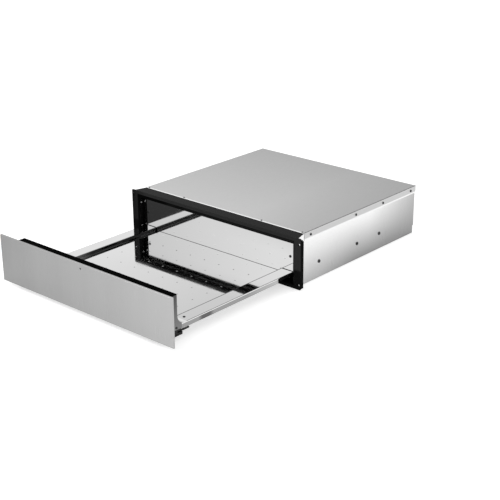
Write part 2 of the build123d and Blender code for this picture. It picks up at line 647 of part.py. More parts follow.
# ---------------------------------------------------------------- drawer
def tray_section(front, half, bottom_z, radius):
    """Solid block below the flanges with rounded bottom and upright edges."""
    body = block((-half, half), (front, PAN_END + 40), (bottom_z, FLANGE_Z + 5))
    upright = [edge for edge in body.edges().filter_by(Axis.Z) if edge.center().Y < front + 1]
    body = fillet(upright, PAN_CORNER_R + radius - PAN_BOTTOM_R)
    bottom = [
        edge
        for edge in body.edges()
        if abs(edge.center().Z - bottom_z) < TINY and edge.center().Y < PAN_END
    ]
    return fillet(bottom, radius)


def drawer_pan():
    """Pressed pan: dimpled base, rounded risers, wide flanges and bent-down side lips."""
    low = FLANGE_Z - SHEET
    half = PAN_HALF_W
    outer = tray_section(PAN_FRONT - SHEET, half + SHEET, PAN_BASE_Z - SHEET, PAN_BOTTOM_R + SHEET)
    inner = tray_section(PAN_FRONT, half, PAN_BASE_Z, PAN_BOTTOM_R)
    limit = block((-WIDE, WIDE), (BOX_BACK, PAN_END), (0, FLANGE_Z))
    plate = block((-FLANGE_HALF_W, FLANGE_HALF_W), (BOX_BACK + 2, PAN_END), (low, FLANGE_Z))
    body = (plate + (outer & limit)) - inner
    lip_x = (FLANGE_HALF_W - SHEET, FLANGE_HALF_W)
    body += both(block(lip_x, (LIP_START, LIP_END), (LIP_BOTTOM, low + SHEET / 5)))
    crest = [e for e in side_edges(body, Axis.Y, FLANGE_HALF_W) if abs(e.center().Z - FLANGE_Z) < TINY]
    body = fillet(crest, BEND_R)
    rim = [
        edge
        for edge in body.edges()
        if abs(edge.center().Z - FLANGE_Z) < TINY
        and abs(edge.center().X) < half + TINY
        and PAN_FRONT - TINY < edge.center().Y < PAN_END - 1
    ]
    body = fillet(rim, PAN_RIM_R)
    body -= dimple_field()
    for y, _ in RIVETS:
        body -= both(screw_hole("Z", (RIVET_X, y, low - 1), RIVET_R + SCREW_FIT, 3 * SHEET))
    return body


def dimple_field():
    """Cutters for the square grid of small pointed dimples in the base."""
    dimple = loft([RegularPolygon(DIMPLE_R, DIMPLE_FACES).face(), Vertex(0, 0, -DIMPLE_DEPTH)])
    first = -(DIMPLE_COLUMNS - 1) / 2 * DIMPLE_PITCH
    last_row = PAN_END - DIMPLE_REAR
    return [
        Pos(first + i * DIMPLE_PITCH, last_row - j * DIMPLE_PITCH, PAN_BASE_Z) * dimple
        for i in range(DIMPLE_COLUMNS)
        for j in range(DIMPLE_ROWS)
    ]


def drawer_back_wall():
    """Upright sheet at the pan's rear, folded back along its top and sides and footed on the pan."""
    y, top, half = BACK_WALL_Y, BACK_WALL_TOP, BACK_WALL_HALF_W
    fold = y + BACK_WALL_FOLD
    path = [(y, FLANGE_Z), (y, top), (fold, top), (fold, top - 8)]
    wall = prism_x(strip_along(path, -SHEET), -half, half)
    tongue = PAN_HALF_W - PAN_BOTTOM_R - 0.2
    foot_y = (y, PAN_END - 2)
    wall += block((-tongue, tongue), (y, y + SHEET), (PAN_BASE_Z, FLANGE_Z))
    wall += block((-tongue, tongue), foot_y, (PAN_BASE_Z, PAN_BASE_Z + SHEET))
    wall += both(block((PAN_HALF_W + 3, FLANGE_HALF_W - 1), foot_y, (FLANGE_Z, FLANGE_Z + SHEET)))
    wall += both(block((half - SHEET, half), (y, fold), (FLANGE_Z, top)))
    upright = [e for e in side_edges(wall, Axis.Z, half) if abs(e.center().Y - y) < TINY]
    wall = fillet(upright, BEND_R - 0.1)
    crest = [
        edge
        for edge in wall.edges().filter_by(Axis.X)
        if abs(edge.center().Z - top) < TINY and abs(edge.center().Y - y) < TINY
    ]
    wall = fillet(crest, BEND_R - 0.1)
    screw_spot = (BACK_SCREW_X, y - 1, BACK_SCREW_Z)
    wall -= both(screw_hole("Y", screw_spot, BACK_SHANK_R + SCREW_FIT, 3 * SHEET))
    rivet_spot = (RIVET_X, RIVETS[1][0], FLANGE_Z - 1)
    wall -= both(screw_hole("Z", rivet_spot, RIVET_R + SCREW_FIT, 4 * SHEET))
    return wall


def front_shell():
    """Sheet that closes the box behind the front panel and sweeps down into the pan's flange."""
    t = SHEET
    top = BOX_TOP - STRIP_T
    foot = FLANGE_Z + t
    cy, cz = BOX_BACK + COVE_R, foot + COVE_R
    toe = cy + COVE_FOOT
    outline = [
        Line((PANEL_BACK, top), (BOX_BACK, top)),
        Line((BOX_BACK, top), (BOX_BACK, cz)),
        CenterArc((cy, cz), COVE_R, 180, 90),
        Line((cy, foot), (toe, foot)),
        Line((toe, foot), (toe, FLANGE_Z)),
        Line((toe, FLANGE_Z), (cy, FLANGE_Z)),
        CenterArc((cy, cz), COVE_R + t, 180, 90),
        Line((BOX_BACK - t, cz), (BOX_BACK - t, top - t)),
        Line((BOX_BACK - t, top - t), (PANEL_BACK, top - t)),
        Line((PANEL_BACK, top - t), (PANEL_BACK, top)),
    ]
    face = make_face(Curve() + outline)
    half = BOX_HALF_W - t
    return extrude(Plane.YZ.offset(-half) * face, amount=2 * half)


def box_floor():
    """Folded floor of the front box, hooked under the pan's front flange."""
    low = PAN_BASE_Z - 2 * SHEET
    high = FLANGE_Z - 2 * SHEET
    path = [
        (PANEL_BACK, low + FLOOR_UPSTAND),
        (PANEL_BACK, low),
        (BOX_BACK + HOOK_START, low),
        (BOX_BACK + HOOK_END, high),
        (PAN_FRONT - SHEET - HOOK_GAP, high),
    ]
    return prism_x(strip_along(path, SHEET), -PAN_HALF_W, PAN_HALF_W)


def end_plate():
    """Side of the front box, with the cove's outline and a fold against the panel."""
    t = SHEET
    cy, cz = BOX_BACK + COVE_R, FLANGE_Z + t + COVE_R
    cut = LIP_START + END_LAP
    angle = math.degrees(math.acos((cy - cut) / COVE_R))
    arc = CenterArc((cy, cz), COVE_R, 180, angle)
    end = arc @ 1
    low = PAN_BASE_Z - SHEET / 2
    top = BOX_TOP - STRIP_T
    outline = [
        Line((PANEL_BACK, top), (BOX_BACK, top)),
        Line((BOX_BACK, top), (BOX_BACK, cz)),
        arc,
        Line((end.X, end.Y), (cut, low)),
        Line((cut, low), (PANEL_BACK, low)),
        Line((PANEL_BACK, low), (PANEL_BACK, top)),
    ]
    face = make_face(Curve() + outline)
    plate = extrude(Plane.YZ.offset(BOX_HALF_W - t) * face, amount=t)
    fold_x = (BOX_HALF_W - END_FOLD_W, BOX_HALF_W - t / 2)
    plate += block(fold_x, (PANEL_BACK, PANEL_BACK + t), (low, top - t))
    return plate - screw_hole("X", (BOX_HALF_W - 3 * t, *CLIP_SCREW), SHANK_R + SCREW_FIT, 5 * t)


def control_strip():
    """Black glass strip on top of the box; its touch fields are unprinted."""
    body = block((-BOX_HALF_W, BOX_HALF_W), (PANEL_BACK, BOX_BACK), (BOX_TOP - STRIP_T, BOX_TOP))
    rear_edge = body.edges().filter_by(Axis.X).group_by(Axis.Z)[-1].sort_by(Axis.Y)[-1:]
    return fillet(rear_edge, STRIP_EDGE_R)


def touch_board():
    """Circuit board under the strip, on hexagonal posts, with a plug and a component."""
    top = BOX_TOP - STRIP_T - SHEET - BOARD_STAND
    y0, y1 = PANEL_BACK + BOARD_MARGIN, BOX_BACK - BOARD_MARGIN
    board = block((-BOARD_HALF_L, BOARD_HALF_L), (y0, y1), (top - BOARD_T, top))
    for y in (y0 + POST_INSET[1], y1 - POST_INSET[1]):
        spot = Pos(BOARD_HALF_L - POST_INSET[0], y, top)
        board += both(spot * extrude(RegularPolygon(POST_R, 6), BOARD_STAND))
    for centre, (length, depth, height) in ((BOARD_HALF_L / 2, BOARD_PLUG), (-BOARD_HALF_L / 2, BOARD_CHIP)):
        x = (centre - length / 2, centre + length / 2)
        y = (y0 + BOARD_MARGIN, y0 + BOARD_MARGIN + depth)
        board += block(x, y, (top - BOARD_T - height, top - BOARD_T))
    return board


def front_panel():
    """Brushed steel tray: face sheet with folded rims."""
    y0 = PANEL_BACK - PANEL_T
    rim = PANEL_RIM
    body = block((-PANEL_HALF_W, PANEL_HALF_W), (y0, PANEL_BACK), (PANEL_BOTTOM, PANEL_TOP))
    body = fillet([edge for edge in body.edges() if abs(edge.center().Y - y0) < TINY], PANEL_EDGE_R)
    inner = (-PANEL_HALF_W + rim, PANEL_HALF_W - rim)
    body -= block(inner, (y0 + rim, PANEL_BACK + 1), (PANEL_BOTTOM + rim, PANEL_TOP - rim))
    return body - rod("Y", (0, y0 - 1, LENS_Z), LENS_R, 1 + 2 * rim)


def panel_backing():
    """Zinc-coated plate that closes the panel's tray from behind."""
    half = PANEL_HALF_W - PANEL_RIM
    z = (PANEL_BOTTOM + PANEL_RIM, PANEL_TOP - PANEL_RIM)
    return block((-half, half), (PANEL_BACK - SHEET, PANEL_BACK), z)


def pilot_lens():
    """Small round lens with a collar behind the panel's face."""
    y0 = PANEL_BACK - PANEL_T
    lens = rod("Y", (0, y0 - LENS_PROUD, LENS_Z), LENS_R, LENS_PROUD + PANEL_RIM)
    collar_l = PANEL_T - PANEL_RIM - SHEET
    return lens + rod("Y", (0, y0 + PANEL_RIM, LENS_Z), LENS_R + 1.2, collar_l)


def slide_clip():
    """Moulded locking clip between the drawer and the front end of the slide."""
    outer = BOX_HALF_W - SHEET
    inner = outer - CLIP_W
    y0, y1 = BOX_BACK - CLIP_LAP[0], BOX_BACK + CLIP_LAP[1]
    low = OPENING_BOTTOM + CLIP_CLEAR
    body = block((inner, outer), (y0, y1), (low, PAN_BASE_Z - 1))
    body += block((inner, outer - 2.6), (BOX_BACK + 2, y1), (PAN_BASE_Z - 2, FLANGE_Z - SHEET))
    body += block((outer - 8, outer), (y0, BOX_BACK), (PAN_BASE_Z - 2, FLANGE_Z - SHEET / 2))
    upright = [e for e in side_edges(body, Axis.Z, outer) if e.center().Z < low + 10]
    body = fillet(upright, 1.2)
    # slot of the lever, with its pin left standing
    pin_x, pin_y = LEVER_PIVOT
    slot_z = (LEVER_Z[0] - CLIP_SLOT_PLAY, LEVER_Z[1] + CLIP_SLOT_PLAY)
    body -= block((inner + 2, outer + 1), (pin_y - LEVER_HUB_R - 1.9, y1 + 1), slot_z)
    body += rod("Z", (pin_x, pin_y, LEVER_Z[0] - 1), LEVER_PIN_R, LEVER_T + 2)
    # ribs of the grip below the lever
    for i in range(4):
        yy = y0 + 4.5 + i * 5.5
        body -= block((outer - 0.8, outer + 1), (yy, yy + 2.6), (low + 1.2, slot_z[0] - 1.5))
    body -= screw_hole("X", (outer - 7, *CLIP_SCREW), SHANK_R + SCREW_FIT, 8)
    # the pan's lip starts beside the clip
    lip = FLANGE_HALF_W - SHEET
    lip_z = (LIP_BOTTOM - CLIP_SLOT_PLAY, FLANGE_Z + 1)
    return body - block((lip - CLIP_SLOT_PLAY, outer + 1), (LIP_START - RUN, y1 + 1), lip_z)


def release_lever():
    """Sprung lever of the clip; its tab reaches back along the pan's lip."""
    px, py = LEVER_PIVOT
    arm = [
        (px - 4, py - 1),
        (px + 4.2, py - 1),
        (px + 8.5, py + 10.5),
        (px + 9.6, py + 13),
        (px + 9.6, py + 32),
        (px + 7.2, py + 32),
        (px + 7.2, py + 16),
        (px + 3, py + 12.5),
        (px - 4, py + 4),
    ]
    body = prism_z(arm, *LEVER_Z)
    body += rod("Z", (px, py, LEVER_Z[0]), LEVER_HUB_R, LEVER_T)
    return body - rod("Z", (px, py, LEVER_Z[0] - 1), LEVER_PIN_R + SHAFT_FIT, LEVER_T + 2)


def latch_striker():
    """Block under the pan that meets the latch's plunger."""
    under = PAN_BASE_Z - SHEET
    body = block((-11, 11), (PAN_END - 10, PAN_END), (LATCH_Z - PLUNGER_R - 1, under))
    return body + block((-16, 16), (PAN_END - 16, PAN_END), (under - 1.5, under))


# ---------------------------------------------------------------- inside the casing, behind the drawer
def air_duct():
    """Partition with the fan's guarded inlet, the outlet slots and the latch's openings."""
    half = CASING_HALF_W - SHEET - 2 * SEAT
    top = COVER_UNDER - 2 * SEAT - SHEET
    fold = DUCT_Y + DUCT_FOLD
    path = [(fold, SHEET), (DUCT_Y, SHEET), (DUCT_Y, top), (fold, top)]
    body = prism_x(strip_along(path, -SHEET), -half, half)
    wall = Plane((0, DUCT_Y, 0), x_dir=(1, 0, 0), z_dir=(0, -1, 0))
    # fan inlet: a round hole less the guard's boss and its two crossing bars
    inlet = Circle(0.9 * FAN_R) - RegularPolygon(2 * GUARD_W, HOLE_FACES)
    inlet -= Rectangle(GUARD_W, 3 * FAN_R) + Rectangle(3 * FAN_R, GUARD_W)
    body -= extrude(wall * Pos(FAN_X, FAN_Z) * inlet, amount=3 * SHEET, both=True)
    middle = sum(OUTLET_X) / 2
    for row in range(OUTLET_SLOTS):
        spot = wall * Pos(middle, OUTLET_Z + row * OUTLET_PITCH)
        body -= slot_through(spot, OUTLET_X[1] - OUTLET_X[0], OUTLET_W)
    body -= rod("Y", (0, DUCT_Y - 1, LATCH_Z), PLUNGER_R + 2 + SCREW_FIT, 4 * SHEET)
    screw_spot = (LATCH_SCREW_X, DUCT_Y - 1, LATCH_Z + LATCH_SCREW_UP)
    return body - both(screw_hole("Y", screw_spot, SMALL_SHANK_R + SCREW_FIT, 4 * SHEET))


def fan_shroud():
    """Ring round the impeller, open towards the heating element, with the motor's plate."""
    y0 = DUCT_Y + SHEET
    y1 = FAN_Y[1] + 2 * SHROUD_T
    ring = rod("Y", (FAN_X, y0, FAN_Z), SHROUD_R + SHROUD_T, y1 - y0)
    ring -= rod("Y", (FAN_X, y0 - 1, FAN_Z), SHROUD_R, y1 - y0 + 2)
    ring -= block((FAN_X + FAN_R / 4, FAN_X + 2 * FAN_R), (y0 - 1, y1 + 1), (FAN_Z - 14, FAN_Z + 30))
    plate = rod("Y", (FAN_X, y1 - SHROUD_T, FAN_Z), SHROUD_R + SHROUD_T, SHROUD_T)
    plate -= rod("Y", (FAN_X, FAN_Y[1], FAN_Z), SHAFT_R + 2.5, 4 * SHROUD_T)
    return ring + plate


def fan_motor():
    """Shaded-pole motor: round can with a chamfered end, coil block, boss and shaft."""
    y0 = FAN_Y[1] + 2 * SHROUD_T
    can = rod("Y", (FAN_X, y0, FAN_Z), MOTOR_R, MOTOR_L)
    can = chamfer(can.edges().group_by(Axis.Y)[-1], 2.5)
    can += block((FAN_X - 20, FAN_X + 20), (y0, y0 + 12), (FAN_Z - MOTOR_R - 7, FAN_Z - 20))
    can += rod("Y", (FAN_X, y0 - SHROUD_T, FAN_Z), SHAFT_R + 2, 2)
    return can + rod("Y", (FAN_X, FAN_Y[0] + 2, FAN_Z), SHAFT_R, y0 - FAN_Y[0])


def fan_impeller():
    """Radial wheel: hub, back disc, backswept blades and a front ring."""
    wheel = rod("Y", (FAN_X, FAN_Y[1] - 1.5, FAN_Z), FAN_R, 1.5)
    wheel += rod("Y", (FAN_X, FAN_Y[0] + 3, FAN_Z), 2 * SHAFT_R + 1, FAN_D - 3)
    ring = rod("Y", (FAN_X, FAN_Y[0], FAN_Z), FAN_R, 1.2)
    wheel += ring - rod("Y", (FAN_X, FAN_Y[0] - 1, FAN_Z), FAN_R - 9, 4)
    blade = block((FAN_R / 2, FAN_R - 0.6), (FAN_Y[0] + 0.5, FAN_Y[1] - 1), (-0.7, 0.7))
    for i in range(BLADES):
        sweep = Pos(FAN_X, 0, FAN_Z) * Rot(0, i * 360 / BLADES, 0) * Pos(0, 0, 9) * Rot(0, 14, 0)
        wheel += sweep * blade
    return wheel - rod("Y", (FAN_X, FAN_Y[0] - 1, FAN_Z), SHAFT_R + SHAFT_FIT, FAN_D + 2)


def heating_element():
    """Hairpin tube with ceramic ends and terminal pins."""
    x0, x1 = HEATER_X
    z0, z1 = HEATER_Z
    radius = (z1 - z0) / 2
    path = Curve() + [
        Line((x1, z0), (x0 + radius, z0)),
        RadiusArc((x0 + radius, z0), (x0 + radius, z1), radius),
        Line((x0 + radius, z1), (x1, z1)),
    ]
    plane = Plane((0, HEATER_Y, 0), x_dir=(1, 0, 0), z_dir=(0, -1, 0))
    start = Plane(origin=(x1, HEATER_Y, z0), z_dir=(-1, 0, 0))
    tube = sweep(start * Circle(HEATER_R), path=Wire((plane * path).edges()))
    for z in (z0, z1):
        tube += rod("X", (x1 - 4, HEATER_Y, z), HEATER_R + 2, 12)
        tube += rod("X", (x1 + 8, HEATER_Y, z), HEATER_R / 2, 8)
    return tube


def element_clamps():
    """Two ceramic clamps that hold both legs of the element off the partition."""
    clamps = []
    low, high = HEATER_Z[0] - 6, HEATER_Z[1] + 6
    for centre in CLAMP_X:
        x = (centre - CLAMP_W / 2, centre + CLAMP_W / 2)
        clamp = block(x, (DUCT_Y + SHEET, HEATER_Y + HEATER_R + 2), (low, high))
        clamp -= block((x[0] - 1, x[1] + 1), (DUCT_Y + 4, HEATER_Y + 9), (low + 12, high - 12))
        for z in HEATER_Z:
            clamp -= rod("X", (x[0] - 1, HEATER_Y, z), HEATER_R + SHAFT_FIT, CLAMP_W + 2)
        clamps.append(clamp)
    return one(clamps)


def thermal_cutout():
    """Disc cut-out on the partition, with two blade terminals."""
    y0 = DUCT_Y + SHEET
    body = rod("Y", (CUTOUT_X, y0, CUTOUT_Z), CUTOUT_R, 6)
    body += rod("Y", (CUTOUT_X, y0 + 6, CUTOUT_Z), CUTOUT_R - 2, 2)
    for x in (CUTOUT_X - 4, CUTOUT_X + 4):
        body += block((x - 0.4, x + 0.4), (y0 + 7, y0 + 16), (CUTOUT_Z - 2.5, CUTOUT_Z + 2.5))
    return body


def control_module():
    """Closed housing of the temperature control: body, lid rim, ribs and two plugs."""
    (x0, x1), (z0, z1) = MODULE_X, MODULE_Z
    y0 = DUCT_Y + SHEET
    y1 = y0 + MODULE_D
    body = block((x0, x1), (y0, y1), (z0, z1))
    body = chamfer(body.edges().filter_by(Axis.Y), 3)
    body += block((x0 - 1.2, x1 + 1.2), (y1 - 6, y1 - 3), (z0 - 1.2, z1 + 1.2))
    for i in range(5):
        x = x0 + 12 + i * 13
        body -= block((x, x + 4), (y1 - 2, y1 + 1), (z0 + 12, z1 - 12))
    for x, width in ((x0 + 10, 24), (x0 + 44, 16)):
        body += block((x, x + width), (y0 + 6, y0 + 16), (z0 - 9, z0 + 1))
    return body


def terminal_block():
    """Three-way mains terminal on the floor, with screw wells and wire entries."""
    x0, y0 = TERMINAL_X, DUCT_Y + 14
    body = block((x0, x0 + TERMINAL_W), (y0, y0 + 16), (SHEET + 2, SHEET + 14))
    body += block((x0 + 3, x0 + TERMINAL_W - 3), (y0 + 2, y0 + 14), (SHEET, SHEET + 2))
    for i in range(3):
        x = x0 + (i + 0.5) * TERMINAL_W / 3
        body -= screw_hole("Z", (x, y0 + 5, SHEET + 8), 2.4, 8)
        body -= block((x - 1.9, x + 1.9), (y0 + 10, y0 + 18), (SHEET + 5, SHEET + 9))
    return body


def cable_gland():
    """Cable entry without a cable: body through the rear wall, outer flange, inner nut."""
    wall = CASING_BACK - SHEET
    body = rod("Y", (GLAND_X, wall - 8, GLAND_Z), GLAND_R, 8 + SHEET)
    body += rod("Y", (GLAND_X, CASING_BACK, GLAND_Z), GLAND_R + 3, 2.5)
    body += rod("Y", (GLAND_X, CASING_BACK + 2.5, GLAND_Z), GLAND_R - 1, 3.5)
    plane = Plane((GLAND_X, wall, GLAND_Z), x_dir=(1, 0, 0), z_dir=(0, -1, 0))
    body += extrude(plane * RegularPolygon(GLAND_R + 4, 6), amount=4)
    return body - rod("Y", (GLAND_X, wall - 10, GLAND_Z), GLAND_BORE_R, 20)


def touch_latch():
    """Housing of the push-to-open latch on the back of the partition."""
    y0 = DUCT_Y + SHEET
    body = block((-LATCH_HALF_W, LATCH_HALF_W), (y0, y0 + 37), (LATCH_Z - 8, LATCH_Z + 9))
    body = chamfer(body.edges().filter_by(Axis.Y), 1.5)
    body += rod("Y", (0, DUCT_Y - 1.5, LATCH_Z), PLUNGER_R + 2, 4)
    reach = PLUNGER_TIP + PLUNGER_L + 5 - DUCT_Y
    body -= rod("Y", (0, DUCT_Y - 3, LATCH_Z), PLUNGER_R + SHAFT_FIT, reach + 3)
    screw_spot = (LATCH_SCREW_X, y0 - 1, LATCH_Z + LATCH_SCREW_UP)
    return body - both(screw_hole("Y", screw_spot, SMALL_SHANK_R + SCREW_FIT, 8))


def latch_plunger():
    """Sprung pin of the latch."""
    pin = rod("Y", (0, PLUNGER_TIP, LATCH_Z), PLUNGER_R, PLUNGER_L)
    return chamfer(pin.edges().group_by(Axis.Y)[0], 1)


# ---------------------------------------------------------------- fasteners
def cover_side_screws():
    return one(
        fastener("X", (side * (CASING_HALF_W + SHEET), y, z), side, SIDE_HEAD, SHANK_R, SCREW_L)
        for side in (-1, 1)
        for y, z in COVER_SCREWS
    )


def cover_front_screws():
    return one(
        fastener("Z", (side * x, TOP_SCREW_Y, CASING_H), 1, TOP_HEAD, SHANK_R, SCREW_L)
        for side in (-1, 1)
        for x in TOP_SCREW_X
    )


def bracket_screws():
    return one(
        fastener("X", (side * CASING_HALF_W, y, z), side, BRACKET_HEAD, SHANK_R, SHEET + 2 * RAIL_T)
        for side in (-1, 1)
        for y, z in BRACKET_SCREWS
    )


def jamb_screws():
    reach = CASING_HALF_W - OPENING_HALF_W
    return one(
        fastener("X", (side * OPENING_HALF_W, y, z), -side, JAMB_HEAD, SHANK_R, reach)
        for side in (-1, 1)
        for y, z in JAMB_SCREWS
    )


def rear_screws():
    return one(
        fastener("Y", (side * REAR_SCREW_X, CASING_BACK, z), 1, SIDE_HEAD, SHANK_R, SCREW_L)
        for side in (-1, 1)
        for z in REAR_SCREW_Z
    )


def latch_screws():
    z = LATCH_Z + LATCH_SCREW_UP
    return one(
        fastener("Y", (side * LATCH_SCREW_X, DUCT_Y, z), -1, LATCH_HEAD, SMALL_SHANK_R, SCREW_L + 2)
        for side in (-1, 1)
    )


def back_wall_screws():
    return one(
        fastener("Y", (side * BACK_SCREW_X, BACK_WALL_Y, BACK_SCREW_Z), -1, BACK_HEAD, BACK_SHANK_R, SCREW_L)
        for side in (-1, 1)
    )


def clip_screws():
    return one(
        fastener("X", (side * BOX_HALF_W, *CLIP_SCREW), side, CLIP_HEAD, SHANK_R, SCREW_L + 2)
        for side in (-1, 1)
    )


def pan_rivets():
    """Rivets that hold the pan, and the back wall's feet, on the moving rails."""
    grip = SHEET + RAIL_T
    return one(
        fastener("Z", (side * RIVET_X, y, FLANGE_Z + extra), 1, RIVET_HEAD, RIVET_R, grip + extra)
        for side in (-1, 1)
        for y, extra in RIVETS
    )


# ---------------------------------------------------------------- all nodes
SINGLE = (
    casing_shell,
    casing_cover,
    casing_rear,
    front_frame,
    air_duct,
    fan_shroud,
    fan_motor,
    fan_impeller,
    heating_element,
    element_clamps,
    thermal_cutout,
    control_module,
    terminal_block,
    cable_gland,
    touch_latch,
    latch_plunger,
    drawer_pan,
    drawer_back_wall,
    front_shell,
    box_floor,
    control_strip,
    touch_board,
    front_panel,
    panel_backing,
    pilot_lens,
    latch_striker,
    cover_side_screws,
    cover_front_screws,
    bracket_screws,
    jamb_screws,
    rear_screws,
    latch_screws,
    back_wall_screws,
    clip_screws,
    pan_rivets,
)
PAIRED = (
    slide_bracket,
    cabinet_rail,
    mid_rail,
    glide_pads,
    drawer_rail,
    end_plate,
    slide_clip,
    release_lever,
)

for make in SINGLE:
    write(make(), make.__name__)
for make in PAIRED:
    write_pair(make(), make.__name__)
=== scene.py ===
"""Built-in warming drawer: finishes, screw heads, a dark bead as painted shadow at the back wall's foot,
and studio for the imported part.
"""

import json
import math

import bmesh
import bpy
from mathutils import Euler, Matrix, Vector

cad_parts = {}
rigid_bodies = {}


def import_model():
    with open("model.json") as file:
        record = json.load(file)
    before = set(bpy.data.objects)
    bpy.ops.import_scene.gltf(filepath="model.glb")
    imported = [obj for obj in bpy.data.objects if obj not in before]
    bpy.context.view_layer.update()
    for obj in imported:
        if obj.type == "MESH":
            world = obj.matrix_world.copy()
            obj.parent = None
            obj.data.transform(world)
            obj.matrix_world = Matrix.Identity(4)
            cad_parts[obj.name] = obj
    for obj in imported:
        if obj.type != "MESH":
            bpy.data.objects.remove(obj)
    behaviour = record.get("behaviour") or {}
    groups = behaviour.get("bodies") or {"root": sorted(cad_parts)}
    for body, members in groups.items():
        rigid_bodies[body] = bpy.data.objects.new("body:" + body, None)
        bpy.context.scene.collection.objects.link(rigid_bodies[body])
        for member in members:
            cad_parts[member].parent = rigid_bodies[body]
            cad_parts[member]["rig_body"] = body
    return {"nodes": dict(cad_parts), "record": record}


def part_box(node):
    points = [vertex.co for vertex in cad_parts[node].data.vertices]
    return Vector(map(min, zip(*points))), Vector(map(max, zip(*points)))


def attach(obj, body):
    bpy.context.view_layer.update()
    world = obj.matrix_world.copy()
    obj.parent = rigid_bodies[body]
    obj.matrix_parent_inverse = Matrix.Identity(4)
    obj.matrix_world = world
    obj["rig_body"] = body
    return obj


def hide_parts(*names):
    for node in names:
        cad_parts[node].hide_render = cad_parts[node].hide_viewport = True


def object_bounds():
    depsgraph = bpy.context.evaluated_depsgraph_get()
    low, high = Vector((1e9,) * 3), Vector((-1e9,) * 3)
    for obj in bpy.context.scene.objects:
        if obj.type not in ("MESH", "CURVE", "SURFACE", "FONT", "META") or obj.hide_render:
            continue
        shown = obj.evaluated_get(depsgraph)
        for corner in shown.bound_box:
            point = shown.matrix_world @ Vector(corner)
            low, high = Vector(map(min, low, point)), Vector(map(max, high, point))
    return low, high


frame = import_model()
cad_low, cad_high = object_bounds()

nodes = frame["nodes"]
slots = {part["node"]: part["material_slot"] for part in frame["record"]["subparts"]}


# ---------------------------------------------------------------- places on the part, in metres
PANEL_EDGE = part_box("front_panel")[1].x
WALL_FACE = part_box("drawer_back_wall")[0].y
PAN_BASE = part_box("drawer_back_wall")[0].z  # the wall stands on the pan's base
PAN_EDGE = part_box("drawer_pan")[1].x
FLANGE_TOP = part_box("drawer_pan")[1].z
FLANGE_RIM = 0.225  # inner edge of the pan's flanges, from the middle
LIP_BEND = PAN_EDGE - 0.0015  # where a flange bends down into its lip
COVER_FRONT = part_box("casing_cover")[0].y
COVER_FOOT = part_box("casing_cover")[0].z  # lower edge of the cover's side flanges
COVER_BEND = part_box("casing_cover")[1].x - 0.0014  # where the cover bends down into them
CASING_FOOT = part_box("casing_shell")[0].z


# ---------------------------------------------------------------- node helpers
def grey(value):
    """Linear colour of a grey given as it shows on a screen, 0 to 1."""
    linear = ((value + 0.055) / 1.055) ** 2.4 if value > 0.04 else value / 12.92
    return (linear, linear, linear)


def finish(name, shade, metallic, roughness, specular=0.5):
    """A principled material with its plain values on the shader's own sockets."""
    material = bpy.data.materials.new(name)
    material.use_nodes = True
    shader = material.node_tree.nodes["Principled BSDF"]
    shader.inputs["Base Color"].default_value = (*grey(shade), 1.0)
    shader.inputs["Metallic"].default_value = metallic
    shader.inputs["Roughness"].default_value = roughness
    shader.inputs["Specular IOR Level"].default_value = specular
    return material


def add(material, kind, **values):
    """New node with some of its input sockets set."""
    node = material.node_tree.nodes.new(kind)
    for socket, value in values.items():
        node.inputs[socket.replace("_", " ")].default_value = value
    return node


def join(material, source, target):
    material.node_tree.links.new(source, target)


def shader_input(material, socket):
    return material.node_tree.nodes["Principled BSDF"].inputs[socket]


def sums(material, operation, a, b=0.0):
    """Math node; a and b are sockets or numbers."""
    node = material.node_tree.nodes.new("ShaderNodeMath")
    node.operation = operation
    for index, value in enumerate((a, b)):
        if isinstance(value, (int, float)):
            node.inputs[index].default_value = value
        else:
            join(material, value, node.inputs[index])
    return node.outputs[0]


def both(material, a, b):
    """Mask of the places where two masks are on."""
    return sums(material, "MULTIPLY", a, b)


def unsigned(material, value):
    """The value without its sign, so that left and right are treated alike."""
    return sums(material, "ABSOLUTE", value)


def ramp(material, value, start, end, low=0.0, high=1.0):
    """Straight ramp, held at its ends."""
    span = add(material, "ShaderNodeMapRange", From_Min=start, From_Max=end, To_Min=low, To_Max=high)
    join(material, value, span.inputs["Value"])
    return span.outputs["Result"]


def axis_of(material, kind, socket, axis):
    """One axis of a vector that a node gives."""
    source = material.node_tree.nodes.new(kind)
    split = material.node_tree.nodes.new("ShaderNodeSeparateXYZ")
    join(material, source.outputs[socket], split.inputs[0])
    return split.outputs[axis]


def place(material, axis):
    """X, Y or Z of the point on the part, in metres."""
    return axis_of(material, "ShaderNodeTexCoord", "Object", axis)


def facing(material, axis):
    """X, Y or Z of the face's own direction."""
    return axis_of(material, "ShaderNodeNewGeometry", "True Normal", axis)


EVEN = (1.0, 1.0, 1.0)
NOISE_LOW = 0.3  # most of the noise lies between these two
NOISE_HIGH = 0.7


def grain(material, stretch=EVEN, scale=1.0, detail=3.0):
    """Noise on object coordinates, stretched along an axis."""
    source = material.node_tree.nodes.new("ShaderNodeTexCoord")
    mapping = add(material, "ShaderNodeMapping", Scale=stretch)
    noise = add(material, "ShaderNodeTexNoise", Scale=scale, Detail=detail)
    join(material, source.outputs["Object"], mapping.inputs["Vector"])
    join(material, mapping.outputs["Vector"], noise.inputs["Vector"])
    return noise.outputs["Fac"]


def spread(material, noise, low=0.0, high=1.0):
    """Noise brought to the range from low to high."""
    return ramp(material, noise, NOISE_LOW, NOISE_HIGH, low, high)


def blend(material, mask, first, second):
    """Colour that goes from first to second as the mask goes from 0 to 1."""
    mix = material.node_tree.nodes.new("ShaderNodeMix")
    mix.data_type = "RGBA"
    join(material, mask, mix.inputs["Factor"])
    for colour, socket in ((first, mix.inputs[6]), (second, mix.inputs[7])):
        if isinstance(colour, tuple):
            socket.default_value = (*colour, 1.0)
        else:
            join(material, colour, socket)
    return mix.outputs[2]


def colour_with(material, colour):
    """The colour becomes the material's own."""
    join(material, colour, shader_input(material, "Base Color"))


